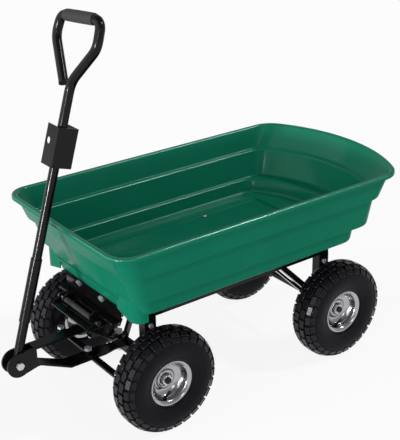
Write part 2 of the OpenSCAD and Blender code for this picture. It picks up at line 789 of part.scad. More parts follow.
// Two ears on a back plate, with a cross stop behind the shaft
module clevis() {
    stop_v = 26;
    back = tube_d / 2 + 4 + 0.35;
    stop_x = pivot_x - stop_v * sin(handle_lean) - back * cos(handle_lean);
    stop_z = handle_z + stop_v * cos(handle_lean) - back * sin(handle_lean);
    color(black) difference() {
        union() {
            for (side = [1, -1]) sided(side) plate_y(clevis_in, clevis_out) {
                disc(pivot_x, handle_z, clevis_r);
                polygon([[clevis_back, clevis_low], [pivot_x, handle_z - clevis_r],
                    [pivot_x, handle_z + clevis_r], [clevis_back, clevis_high]]);
            }
            span([clevis_back, -clevis_out, clevis_low], [clevis_back + 5, clevis_out, clevis_high]);
            rod_y(stop_x, stop_z, 8, -clevis_in - 1, clevis_in + 1);
        }
        rod_y(pivot_x, handle_z, clevis_bolt_d + 2 * fit, -clevis_out - 1, clevis_out + 1);
    }
}

module clevis_bolt() {
    color(zinc) {
        rod_y(pivot_x, handle_z, clevis_bolt_d, -clevis_out - 10, clevis_out);
        translate([pivot_x, clevis_out, handle_z]) rotate([-90, 0, 0]) hex(17, 6.5);
        translate([pivot_x, -clevis_out, handle_z]) rotate([90, 0, 0]) hex(17, 8);
    }
}

module tie_rod_centre_bolt() {
    top = rod2_z + rod_t + gap;
    low = fork_low_top - fork_t;
    color(zinc) {
        rod_z(tie_x, 0, 10, low - 9, top);
        translate([tie_x, 0, top]) hex(17, 6.5);
        translate([tie_x, 0, low - 8]) hex(17, 8);
    }
}

// Handle

// Handle frame: X forward of the shaft, Y to the left, Z along the shaft from the pivot
module handle_frame() {
    translate([pivot_x, 0, handle_z]) rotate([0, -handle_lean, 0]) children();
}

function unit(v) = v / norm(v);
function turn_at(p, i) = acos(unit(p[i] - p[i - 1]) * unit(p[i + 1] - p[i]));
function setback(p, r, i) = i == 0 || i == len(p) - 1 ? 0 : r[i] * tan(turn_at(p, i) / 2);

// Round bar along a flat path, a shade thicker in its bends, drawn on past its two ends
module bent_bar(p, r, d, past) {
    last = len(p) - 1;
    for (i = [0:last - 1]) {
        u = unit(p[i + 1] - p[i]);
        a = p[i] + u * (i == 0 ? -past : setback(p, r, i) - bend_lap);
        b = p[i + 1] - u * (i == last - 1 ? -past : setback(p, r, i + 1) - bend_lap);
        translate([a.x, a.y, 0]) rotate([0, 0, atan2(u.y, u.x)]) rotate([0, 90, 0])
            cylinder(d = d, h = norm(b - a));
    }
    for (i = [1:last - 1]) {
        u = unit(p[i] - p[i - 1]);
        v = unit(p[i + 1] - p[i]);
        left = u.x * v.y - u.y * v.x > 0;
        c = p[i] + unit(v - u) * r[i] / cos(turn_at(p, i) / 2);
        start = left ? p[i] - u * setback(p, r, i) : p[i] + v * setback(p, r, i);
        translate([c.x, c.y, 0]) rotate([0, 0, atan2(start.y - c.y, start.x - c.x)])
            rotate_extrude(angle = turn_at(p, i)) translate([r[i], 0]) circle(d = d + bend_swell);
    }
}

module handle_tube() {
    color(black) handle_frame() difference() {
        rotate([90, 0, 90]) bent_bar(handle_path, handle_bends, tube_d, 0);
        rotate([90, 0, 90]) bent_bar(handle_path, handle_bends, tube_d - 2 * handle_t, 1);
        rod_y(0, 0, clevis_bolt_d + 2 * fit, -tube_d, tube_d);
    }
}

module sleeve_on_shaft(d, lo, hi) {
    difference() {
        rod_z(0, 0, d, lo, hi);
        rod_z(0, 0, tube_d + 0.1, lo - 1, hi + 1);
    }
}

module handle_sleeve() {
    color(black) handle_frame() sleeve_on_shaft(cuff_d, cuff_low, cuff_high);
}

// Channel beside the shaft, open to the right, with a pin hole through both flanges
module hitch_bracket() {
    low_y = hitch_web + hitch_t - hitch_depth;
    top = hitch_v + hitch_h;
    color(black) handle_frame() difference() {
        span([hitch_back, low_y, hitch_v], [hitch_front, hitch_web + hitch_t, top]);
        span([hitch_back + hitch_t, low_y - 1, hitch_v - 1], [hitch_front - hitch_t, hitch_web, top + 1]);
        translate([hitch_back - 1, hitch_hole_y, hitch_hole_v]) rotate([0, 90, 0])
            cylinder(d = hitch_d, h = hitch_front - hitch_back + 2);
    }
}

// Grip on the straight middle of the loop's top bar
module handle_grip() {
    p = handle_path;
    u = unit(p[4] - p[3]);
    near = setback(p, handle_bends, 3);
    far = norm(p[4] - p[3]) - setback(p, handle_bends, 4);
    start = p[3] + u * ((near + far) / 2 - grip_l / 2);
    color(grey) handle_frame() rotate([90, 0, 90]) translate([start.x, start.y, 0])
        rotate([0, 0, atan2(u.y, u.x)]) rotate([0, 90, 0]) difference() {
            cylinder(d = grip_d, h = grip_l);
            translate([0, 0, -1]) cylinder(d = tube_d + 0.1, h = grip_l + 2);
        }
}

// Plug that closes the free end of the loop
module handle_end_cap() {
    n = len(handle_path);
    u = unit(handle_path[n - 1] - handle_path[n - 2]);
    tip = handle_path[n - 1];
    color(black) handle_frame() rotate([90, 0, 90]) translate([tip.x, tip.y, 0])
        rotate([0, 0, atan2(u.y, u.x)]) rotate([0, 90, 0]) {
            cylinder(d = tube_d + 1, h = 4);
            translate([0, 0, -12]) cylinder(d = tube_d - 2 * handle_t - 0.2, h = 12.5);
        }
}

// Tie rods and knuckles

module flat_link(x, y0, y1, z, bore0, bore1) {
    translate([0, 0, z]) linear_extrude(height = rod_t) difference() {
        union() {
            disc(x, y0, rod_w / 2);
            disc(x, y1, rod_w / 2);
            translate([x - rod_w / 2, min(y0, y1)]) square([rod_w, abs(y1 - y0)]);
        }
        disc(x, y0, bore0 / 2);
        disc(x, y1, bore1 / 2);
    }
}

module tie_rod(side) {
    z = side > 0 ? rod1_z : rod2_z;
    color(black) flat_link(tie_x, 0, side * kingpin_y, z, 10 + 2 * fit, 10 + 4 * fit);
}

// Sleeve on the kingpin with a stub axle outward and an arm forward
module knuckle(side) {
    low = ear_low + gap;
    high = ear_high - gap;
    sided(side) color(black) difference() {
        union() {
            rod_z(front_x, kingpin_y, sleeve_d, low, high);
            rod_y(front_x, axle_z, axle_d, kingpin_y + 8, axle_end);
            rod_y(front_x, axle_z, axle_d + 8, kingpin_y + 10, wheel_y + hub_in - gap);
            translate([0, 0, arm_top - rod_t]) linear_extrude(height = rod_t) {
                disc(tie_x, kingpin_y, rod_w / 2);
                translate([front_x, kingpin_y - rod_w / 2]) square([arm_l, rod_w]);
            }
        }
        rod_z(front_x, kingpin_y, kingpin_d + 2 * fit, low - 1, high + 1);
        rod_z(tie_x, kingpin_y, 10 + 2 * fit, arm_top - rod_t - 1, arm_top + 1);
    }
}

// Axle nut, and the bolt that carries the tie rod's outer end
module knuckle_fasteners(side) {
    rod_z0 = side > 0 ? rod1_z : rod2_z;
    top = rod_z0 + rod_t + gap;
    low = arm_top - rod_t;
    sided(side) color(zinc) {
        rod_z(tie_x, kingpin_y, 10, low - 9, top);
        translate([tie_x, kingpin_y, top]) hex(16, 6);
        translate([tie_x, kingpin_y, low - 8]) hex(16, 8);
        if (side < 0) difference() {
            rod_z(tie_x, kingpin_y, 16, arm_top, rod_z0 - gap);
            rod_z(tie_x, kingpin_y, 9.9, arm_top - 1, rod_z0);
        }
        difference() {
            translate([front_x, wheel_y + hub_out + gap, axle_z]) rotate([-90, 0, 0]) hex(24, 10);
            rod_y(front_x, axle_z, axle_d + 2 * fit, wheel_y, axle_end + 1);
        }
    }
}

// Wheels, drawn with the axle along Z and the outer face upward

module wheel_frame(x, side) {
    translate([x, side * wheel_y, axle_z]) rotate([-90 * side, 0, 0]) children();
}

// Tyre section above its bead as fractions of its height and half width
tyre_outer = [[0.2, 0.92], [0.37, 0.985], [0.56, 1], [0.72, 0.97], [0.84, 0.9], [0.915, 0.8], [0.97, 0.65],
    [0.994, 0.38]];
tyre_inner = [[0.88, 0], [0.86, 0.5], [0.79, 0.7], [0.67, 0.79], [0.5, 0.82], [0.27, 0.77], [0.12, 0.62],
    [0, 0.53]];

function section(p, s) = [seat_r + p[0] * (wheel_r - seat_r), s * p[1] * tyre_w / 2];

// The bead sits inside the rim's flange and then spreads over it
bead_y = flange_y - lip_t - 0.2;
bead = [[seat_r, bead_y - 0.8], [rim_d / 2 + 0.25, bead_y], [rim_d / 2 + 1.7, flange_y + 1.7]];

module tyre(x, side) {
    n = len(tyre_inner);
    outline = concat(bead, [for (p = tyre_outer) section(p, 1)],
        [for (i = [len(tyre_outer) - 1:-1:0]) section(tyre_outer[i], -1)],
        [for (i = [len(bead) - 1:-1:0]) [bead[i].x, -bead[i].y]],
        [for (i = [n - 1:-1:1]) section(tyre_inner[i], -1)],
        [for (p = tyre_inner) section(p, 1)]);
    color(rubber) wheel_frame(x, side) rotate_extrude($fn = 72) polygon(outline);
}

module rim(x, side) {
    r = seat_r - 0.3;
    in = r - rim_t;
    lip = flange_y - lip_t;
    k = (in - hub_d / 2) / 30.5;
    h = hub_out;
    color(zinc) wheel_frame(x, side) rotate_extrude($fn = 72) polygon([[rim_d / 2, flange_y],
        [rim_d / 2, lip], [r, lip], [r, -lip], [rim_d / 2, -lip], [rim_d / 2, -flange_y], [in, -flange_y],
        [in, h + 9], [in - 1.5 * k, h + 5], [in - 8 * k, h - 1], [in - 17 * k, h - 4], [in - 25 * k, h - 5],
        [hub_d / 2 + 0.2, h - 5], [hub_d / 2 + 0.2, h + 3.2], [in - 25 * k, h + 3.2], [in - 23 * k, h - 1.8],
        [in - 17.5 * k, h - 1], [in - 9.5 * k, h + 2], [in - 3.5 * k, h + 8], [in, h + 16], [in, flange_y]]);
}

// Hub tube with a groove round each bearing's seal
module hub(x, side) {
    bore = axle_d / 2 + fit;
    r = hub_d / 2;
    mid = (bore + r) / 2;
    color(zinc) wheel_frame(x, side) rotate_extrude() polygon([[bore, hub_in], [mid - 1, hub_in],
        [mid - 1, hub_in + 1.5], [mid + 1, hub_in + 1.5], [mid + 1, hub_in], [r, hub_in], [r, hub_out],
        [mid + 1, hub_out], [mid + 1, hub_out - 1.5], [mid - 1, hub_out - 1.5], [mid - 1, hub_out],
        [bore, hub_out]]);
}

// Assembly

placed() rail(1);  // rail_left
placed() rail(-1);  // rail_right
placed() front_tie_bar();
placed() cross_member(front_x);  // front_cross_member
placed() cross_member(-rear_cross);  // rear_cross_member
placed() front_leg(1);  // front_leg_left
placed() front_leg(-1);  // front_leg_right
placed() rear_leg(1);  // rear_leg_left
placed() rear_leg(-1);  // rear_leg_right
placed() rear_axle();
placed() rear_axle_fittings();
placed() rear_brace(1);  // rear_brace_left
placed() rear_brace(-1);  // rear_brace_right
placed() front_axle_beam();
placed() front_struts();
placed() kingpin(1);  // kingpin_left
placed() kingpin(-1);  // kingpin_right
placed() steering_pivot_bolt();
placed() hinge_lugs();
placed() hinge_pin();
placed() latch_bracket();
placed() latch_pin();
placed() latch_spring();
placed() frame_bolts();
placed() tub();
placed() tub_hinge(1);  // tub_hinge_left
placed() tub_hinge(-1);  // tub_hinge_right
placed() latch_plate();
placed() latch_plate_bolts();
placed() tub_floor_bolts();
placed() latch_lever();
placed() latch_grip();
placed() yoke_upper_bar();
placed() yoke_lower_bar();
placed() clevis();
placed() clevis_bolt();
placed() tie_rod_centre_bolt();
placed() handle_tube();
placed() handle_sleeve();
placed() hitch_bracket();
placed() handle_grip();
placed() handle_end_cap();
placed() tie_rod(1);  // tie_rod_left
placed() tie_rod(-1);  // tie_rod_right
placed() knuckle(1);  // knuckle_left
placed() knuckle(-1);  // knuckle_right
placed() knuckle_fasteners(1);  // knuckle_fasteners_left
placed() knuckle_fasteners(-1);  // knuckle_fasteners_right
placed() tyre(front_x, 1);  // tyre_front_left
placed() tyre(front_x, -1);  // tyre_front_right
placed() tyre(rear_x, 1);  // tyre_rear_left
placed() tyre(rear_x, -1);  // tyre_rear_right
placed() rim(front_x, 1);  // rim_front_left
placed() rim(front_x, -1);  // rim_front_right
placed() rim(rear_x, 1);  // rim_rear_left
placed() rim(rear_x, -1);  // rim_rear_right
placed() hub(front_x, 1);  // hub_front_left
placed() hub(front_x, -1);  // hub_front_right
placed() hub(rear_x, 1);  // hub_rear_left
placed() hub(rear_x, -1);  // hub_rear_right
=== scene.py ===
"""Dresses a tipping dump cart: green moulded tub, black steel frame, bright rims and block-tread tyres.

Sizes in the classes are millimetres in the cart's axle-centred layout, where x = 0 lies midway between the
axles. `spot` turns them into the metres of the shared frame.
"""

import json
import logging
import math
from dataclasses import dataclass
from enum import Enum

import bmesh
import bpy
from mathutils import Matrix, Vector


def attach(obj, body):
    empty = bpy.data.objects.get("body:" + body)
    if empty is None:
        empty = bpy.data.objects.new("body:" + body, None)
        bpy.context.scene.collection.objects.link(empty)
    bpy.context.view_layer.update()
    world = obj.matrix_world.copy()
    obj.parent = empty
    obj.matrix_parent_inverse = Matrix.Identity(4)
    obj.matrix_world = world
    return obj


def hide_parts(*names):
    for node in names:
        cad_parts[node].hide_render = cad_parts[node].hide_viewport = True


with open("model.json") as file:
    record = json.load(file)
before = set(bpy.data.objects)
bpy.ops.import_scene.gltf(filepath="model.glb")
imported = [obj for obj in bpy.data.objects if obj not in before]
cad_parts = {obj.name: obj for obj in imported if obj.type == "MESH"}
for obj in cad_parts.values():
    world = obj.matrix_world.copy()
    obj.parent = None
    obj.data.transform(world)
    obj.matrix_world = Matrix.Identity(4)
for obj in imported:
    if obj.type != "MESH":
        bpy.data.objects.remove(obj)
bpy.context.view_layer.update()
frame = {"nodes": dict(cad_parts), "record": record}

MM = 0.001
ORIGIN_X = 43.0
AXLE_X = 272.35
WHEEL_Y = 196.0
WHEEL_Z = 130.0
LOG = logging.getLogger("dump_cart")

Point2 = tuple[float, float]
Colour = tuple[float, float, float]

NOISE_RANGE = (0.3, 0.7)
SMEARS_TO_CLOUD = 3.7


class Side(Enum):
    """The two sides of the cart, by the sign of Y."""

    LEFT = 1
    RIGHT = -1


class Corner(Enum):
    """The four wheels: the node's ending, the axle's x and the side."""

    FRONT_LEFT = ("front_left", AXLE_X, Side.LEFT)
    FRONT_RIGHT = ("front_right", AXLE_X, Side.RIGHT)
    REAR_LEFT = ("rear_left", -AXLE_X, Side.LEFT)
    REAR_RIGHT = ("rear_right", -AXLE_X, Side.RIGHT)

    @property
    def ending(self) -> str:
        """Ending of the wheel's node and body names."""
        return self.value[0]

    @property
    def place(self) -> Matrix:
        """Matrix from a wheel drawn at the origin, outer face to +Y, to its axle."""
        turn = 0.0 if self.value[2] is Side.LEFT else math.pi
        centre = spot(self.value[1], self.value[2].value * WHEEL_Y, WHEEL_Z)
        return Matrix.Translation(centre) @ Matrix.Rotation(turn, 4, "Z")


def spot(x: float, y: float, z: float) -> Vector:
    """Point of the shared frame in metres.

    Args:
        x: Millimetres ahead of the middle between the axles.
        y: Millimetres to the left.
        z: Millimetres above the ground.

    Returns:
        The point in metres.
    """
    return Vector(((x - ORIGIN_X) * MM, y * MM, z * MM))


def linear(red: int, green: int, blue: int) -> Colour:
    """Linear colour of an 8-bit screen colour.

    Args:
        red: Red from 0 to 255.
        green: Green from 0 to 255.
        blue: Blue from 0 to 255.

    Returns:
        The three linear channels.
    """
    def channel(value: int) -> float:
        """Linear value of one 8-bit channel."""
        share = value / 255
        return share / 12.92 if share <= 0.04045 else ((share + 0.055) / 1.055) ** 2.4

    return channel(red), channel(green), channel(blue)


@dataclass(frozen=True)
class Finish:
    """A surface finish with cloudy colour, uneven gloss, a fine grain and, where set, polished edges.

    Attributes:
        slot: Material slot in the record.
        tone, shade: Lighter and darker colour of the clouds.
        cloud, grain: Clouds and grains to the metre.
        gloss: Least and greatest roughness.
        depth: Height of the grain in millimetres.
        metal: Share of bare metal.
        sheen: Specular level of the plain surface.
        polish: Specular level where the mesh's edge layer is 1; 0 leaves the layer out.
        tint: Tint of the reflections.
    """

    slot: str
    tone: Colour
    shade: Colour
    cloud: float
    gloss: Point2
    grain: float
    depth: float
    metal: float = 0.0
    sheen: float = 0.5
    polish: float = 0.0
    tint: Colour = (1.0, 1.0, 1.0)

    def material(self) -> bpy.types.Material:
        """Node material of this finish, made once and then shared.

        Returns:
            The material.
        """
        name = f"{self.slot} {self.sheen:.2f} {self.metal:.2f}"
        if name in bpy.data.materials:
            return bpy.data.materials[name]
        made = bpy.data.materials.new(name)
        made.use_nodes = True
        self.weave(made.node_tree)
        return made

    def weave(self, tree: bpy.types.NodeTree) -> None:
        """Lays out the nodes.

        Args:
            tree: The material's node tree, with its default shader.
        """
        shader = tree.nodes["Principled BSDF"]
        shader.inputs["Metallic"].default_value = self.metal
        shader.inputs["Specular IOR Level"].default_value = self.sheen
        shader.inputs["Specular Tint"].default_value = (*self.tint, 1.0)
        place = tree.nodes.new("ShaderNodeTexCoord").outputs["Object"]
        clouds = self.noise(tree, place, self.cloud, detail=4.0)
        mix = tree.nodes.new("ShaderNodeMix")
        mix.data_type = "RGBA"
        mix.inputs["A"].default_value = (*self.tone, 1.0)
        mix.inputs["B"].default_value = (*self.shade, 1.0)
        tree.links.new(clouds, mix.inputs["Factor"])
        tree.links.new(mix.outputs["Result"], shader.inputs["Base Color"])
        smears = self.noise(tree, place, self.cloud * SMEARS_TO_CLOUD, detail=3.0)
        spread = tree.nodes.new("ShaderNodeMapRange")
        spread.inputs["From Min"].default_value = NOISE_RANGE[0]
        spread.inputs["From Max"].default_value = NOISE_RANGE[1]
        spread.inputs["To Min"].default_value = self.gloss[0]
        spread.inputs["To Max"].default_value = self.gloss[1]
        tree.links.new(smears, spread.inputs["Value"])
        tree.links.new(spread.outputs["Result"], shader.inputs["Roughness"])
        bump = tree.nodes.new("ShaderNodeBump")
        bump.inputs["Strength"].default_value = 1.0
        bump.inputs["Distance"].default_value = self.depth * MM
        tree.links.new(self.relief(tree, place), bump.inputs["Height"])
        tree.links.new(bump.outputs["Normal"], shader.inputs["Normal"])
        if self.polish > 0:
            edge = tree.nodes.new("ShaderNodeAttribute")
            edge.attribute_name = "edge"
            shine = tree.nodes.new("ShaderNodeMapRange")
            shine.inputs["To Min"].default_value = self.sheen
            shine.inputs["To Max"].default_value = self.polish
            tree.links.new(edge.outputs["Fac"], shine.inputs["Value"])
            tree.links.new(shine.outputs["Result"], shader.inputs["Specular IOR Level"])

    def noise(self, tree: bpy.types.NodeTree, place: bpy.types.NodeSocket, scale: float,
              detail: float) -> bpy.types.NodeSocket:
        """Noise over the piece.

        Args:
            tree: The node tree.
            place: Object coordinates.
            scale: Features to the metre.
            detail: Octaves.

        Returns:
            The noise's value socket.
        """
        node = tree.nodes.new("ShaderNodeTexNoise")
        node.inputs["Scale"].default_value = scale
        node.inputs["Detail"].default_value = detail
        tree.links.new(place, node.inputs["Vector"])
        return node.outputs["Fac"]

    def relief(self, tree: bpy.types.NodeTree, place: bpy.types.NodeSocket) -> bpy.types.NodeSocket:
        """Height of the fine grain.

        Args:
            tree: The node tree.
            place: Object coordinates.

        Returns:
            The height socket.
        """
        return self.noise(tree, place, self.grain, detail=2.0)


@dataclass(frozen=True)
class SpunMetal(Finish):
    """Bright sheet with the fine rings that spinning leaves round its axis."""

    rings: float = 1500.0

    def relief(self, tree: bpy.types.NodeTree, place: bpy.types.NodeSocket) -> bpy.types.NodeSocket:
        """Height of the rings, from the radius kept in the mesh."""
        radius = tree.nodes.new("ShaderNodeAttribute")
        radius.attribute_name = "radius"
        wave = tree.nodes.new("ShaderNodeMath")
        wave.operation = "MULTIPLY"
        wave.inputs[1].default_value = self.rings
        tree.links.new(radius.outputs["Fac"], wave.inputs[0])
        sine = tree.nodes.new("ShaderNodeMath")
        sine.operation = "SINE"
        tree.links.new(wave.outputs["Value"], sine.inputs[0])
        return sine.outputs["Value"]


TUB_PLASTIC = Finish("tub_plastic", tone=linear(19, 112, 87), shade=linear(14, 100, 77), cloud=5.0,
                     gloss=(0.15, 0.2), grain=1400.0, depth=0.006, sheen=0.014, polish=0.95,
                     tint=(0.6, 1.0, 0.88))
FRAME_PAINT = Finish("frame_paint", tone=linear(14, 14, 15), shade=linear(10, 10, 11), cloud=9.0,
                     gloss=(0.14, 0.22), grain=900.0, depth=0.006, sheen=0.18)
# Bolt heads: a paler, half-metal copy of the zinc finish. Its extra brightness is painted highlight standing
# in for the glints they catch.
GLINT_PAINTED_ZINC = Finish("zinc", tone=linear(214, 215, 218), shade=linear(184, 186, 190), cloud=60.0,
                   gloss=(0.18, 0.3), grain=1600.0, depth=0.01, metal=0.6)
BRIGHT_ZINC = Finish("zinc", tone=linear(196, 197, 200), shade=linear(164, 166, 170), cloud=60.0,
                     gloss=(0.22, 0.36), grain=1600.0, depth=0.02, metal=1.0)
RIM_SHEET = SpunMetal("rim", tone=linear(186, 186, 187), shade=linear(154, 154, 157), cloud=22.0,
                      gloss=(0.14, 0.22), grain=0.0, depth=0.004, metal=1.0)
TYRE_RUBBER = Finish("tyre", tone=linear(14, 14, 17), shade=linear(10, 10, 13), cloud=14.0,
                     gloss=(0.24, 0.36), grain=700.0, depth=0.03, sheen=0.09, polish=0.9,
                     tint=(0.86, 0.88, 1.0))
GRIP_FOAM = Finish("grip", tone=linear(58, 55, 59), shade=linear(48, 46, 49), cloud=30.0,
                   gloss=(0.55, 0.68), grain=1100.0, depth=0.12, sheen=0.2)
BLACK_PLUG = Finish("cap", tone=linear(18, 18, 20), shade=linear(13, 13, 14), cloud=20.0,
                    gloss=(0.40, 0.50), grain=900.0, depth=0.05, sheen=0.15)
FINISHES = {f.slot: f for f in (TUB_PLASTIC, FRAME_PAINT, BRIGHT_ZINC, RIM_SHEET, TYRE_RUBBER, GRIP_FOAM,
                                BLACK_PLUG)}


def settle(name: str, bm: bmesh.types.BMesh, body: str, finish: Finish, nodes: tuple[str, ...] = (),
           smooth: float = 35.0) -> bpy.types.Object:
    """Turns a finished bmesh into a piece on its body.

    Args:
        name: Name of the piece.
        bm: The mesh, in the shared frame; it is freed here.
        body: The body that the piece moves with.
        finish: The piece's finish.
        nodes: CAD nodes that the piece stands for.
        smooth: Edges sharper than this many degrees stay sharp.

    Returns:
        The piece.
    """
    mesh = bpy.data.meshes.new(name)
    bm.to_mesh(mesh)
    bm.free()
    mesh.shade_smooth()
    mesh.set_sharp_from_angle(angle=math.radians(smooth))
    mesh.materials.append(finish.material())
    piece = bpy.data.objects.new(name, mesh)
    bpy.context.scene.collection.objects.link(piece)
    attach(piece, body)
    if nodes:
        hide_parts(*nodes)
    LOG.info("%s: %d faces on %s", name, len(mesh.polygons), body)
    return piece


def close(bm: bmesh.types.BMesh) -> None:
    """Merges doubles and turns the faces outwards."""
    bmesh.ops.remove_doubles(bm, verts=bm.verts, dist=1e-6)
    bmesh.ops.recalc_face_normals(bm, faces=bm.faces)


def verts_of(geom: list) -> list[bmesh.types.BMVert]:
    """The points among what an operator returned."""
    return [g for g in geom if isinstance(g, bmesh.types.BMVert)]


def edges_of(geom: list) -> list[bmesh.types.BMEdge]:
    """The edges among what an operator returned."""
    return [g for g in geom if isinstance(g, bmesh.types.BMEdge)]


def lathe(bm: bmesh.types.BMesh, profile: list[Point2], steps: int) -> None:
    """Spins a closed profile round the Y axis.

    Args:
        bm: The mesh that takes the shape.
        profile: Points of radius and height along Y, in millimetres.
        steps: Steps of the spin.
    """
    ring = [bm.verts.new((r * MM, y * MM, 0.0)) for r, y in profile]
    edges = [bm.edges.new((ring[i - 1], ring[i])) for i in range(len(ring))]
    bmesh.ops.spin(bm, geom=ring + edges, cent=(0, 0, 0), axis=(0, 1, 0), dvec=(0, 0, 0), angle=math.tau,
                   steps=steps, use_merge=True, use_normal_flip=False, use_duplicate=False)


def rounded(points: list[tuple[float, float, float]], steps: int = 3) -> list[Point2]:
    """Closed outline with its corners rounded.

    Args:
        points: Corners as two coordinates and the setback of the rounding.
        steps: Segments of each rounding.

    Returns:
        The rounded outline.
    """
    out: list[Point2] = []
    for i, (x, y, cut) in enumerate(points):
        corner = Vector((x, y))
        if cut <= 0:
            out.append((x, y))
            continue
        before, after = (Vector(points[i - 1][:2]), Vector(points[(i + 1) % len(points)][:2]))
        a = corner + (before - corner).normalized() * min(cut, (before - corner).length * 0.49)
        b = corner + (after - corner).normalized() * min(cut, (after - corner).length * 0.49)
        for k in range(steps + 1):
            t = k / steps
            q = a * (1 - t) ** 2 + corner * 2 * t * (1 - t) + b * t * t
            out.append((q.x, q.y))
    return out


@dataclass(frozen=True)
class SteelWork:
    """Cut and welded steel pieces, kept to their solids with the edges eased."""

    ease: float = 0.9
    bolt_share: float = 0.6
    plates: tuple[tuple[str, tuple[str, ...]], ...] = (
        ("chassis", ("rail_left", "rail_right", "front_tie_bar", "front_cross_member", "rear_cross_member",
                     "front_leg_left", "front_leg_right", "rear_leg_left", "rear_leg_right",
                     "rear_brace_left", "rear_brace_right", "front_axle_beam", "front_struts",
                     "hinge_lugs", "latch_bracket")),
        ("tub", ("tub_hinge_left", "tub_hinge_right", "latch_plate")), ("latch", ("latch_lever",)),
        ("yoke", ("yoke_upper_bar", "yoke_lower_bar", "clevis")),
        ("handle", ("handle_sleeve", "hitch_bracket")), ("rod_left", ("tie_rod_left",)),
        ("rod_right", ("tie_rod_right",)), ("turn_left", ("knuckle_left",)),
        ("turn_right", ("knuckle_right",)))
    bolts: tuple[tuple[str, tuple[str, ...]], ...] = (
        ("chassis", ("rear_axle_fittings", "frame_bolts", "steering_pivot_bolt")),
        ("tub", ("latch_plate_bolts",)), ("yoke", ("clevis_bolt", "tie_rod_centre_bolt")),
        ("turn_left", ("knuckle_fasteners_left",)), ("turn_right", ("knuckle_fasteners_right",)))

    def build(self) -> None:
        """Makes every eased piece."""
        # Bolts take the paler zinc copy, whose brightness is painted highlight.
        for pieces, finish, ease in ((self.plates, FRAME_PAINT, self.ease),
                                     (self.bolts, GLINT_PAINTED_ZINC, self.ease * self.bolt_share)):
            for body, nodes in pieces:
                for node in nodes:
                    self.eased(node, body, finish, ease)

    def eased(self, node: str, body: str, finish: Finish, ease: float) -> None:
        """Copies a node's solid and eases its edges.

        Args:
            node: The CAD node.
            body: The body that it rides on.
            finish: Its finish.
            ease: Width of the easing in millimetres.
        """
        bm = bmesh.new()
        bm.from_mesh(frame["nodes"][node].data)
        bmesh.ops.remove_doubles(bm, verts=bm.verts, dist=2e-6)
        bmesh.ops.dissolve_limit(bm, angle_limit=math.radians(1.0), use_dissolve_boundaries=False,
                                 verts=bm.verts, edges=bm.edges)
        piece = settle(f"eased_{node}", bm, body, finish, (node,))
        edge = piece.modifiers.new("eased edges", "BEVEL")
        edge.width = ease * MM
        edge.segments = 2
        edge.profile = 0.5
        edge.limit_method = "ANGLE"
        edge.angle_limit = math.radians(40.0)
        edge.harden_normals = True


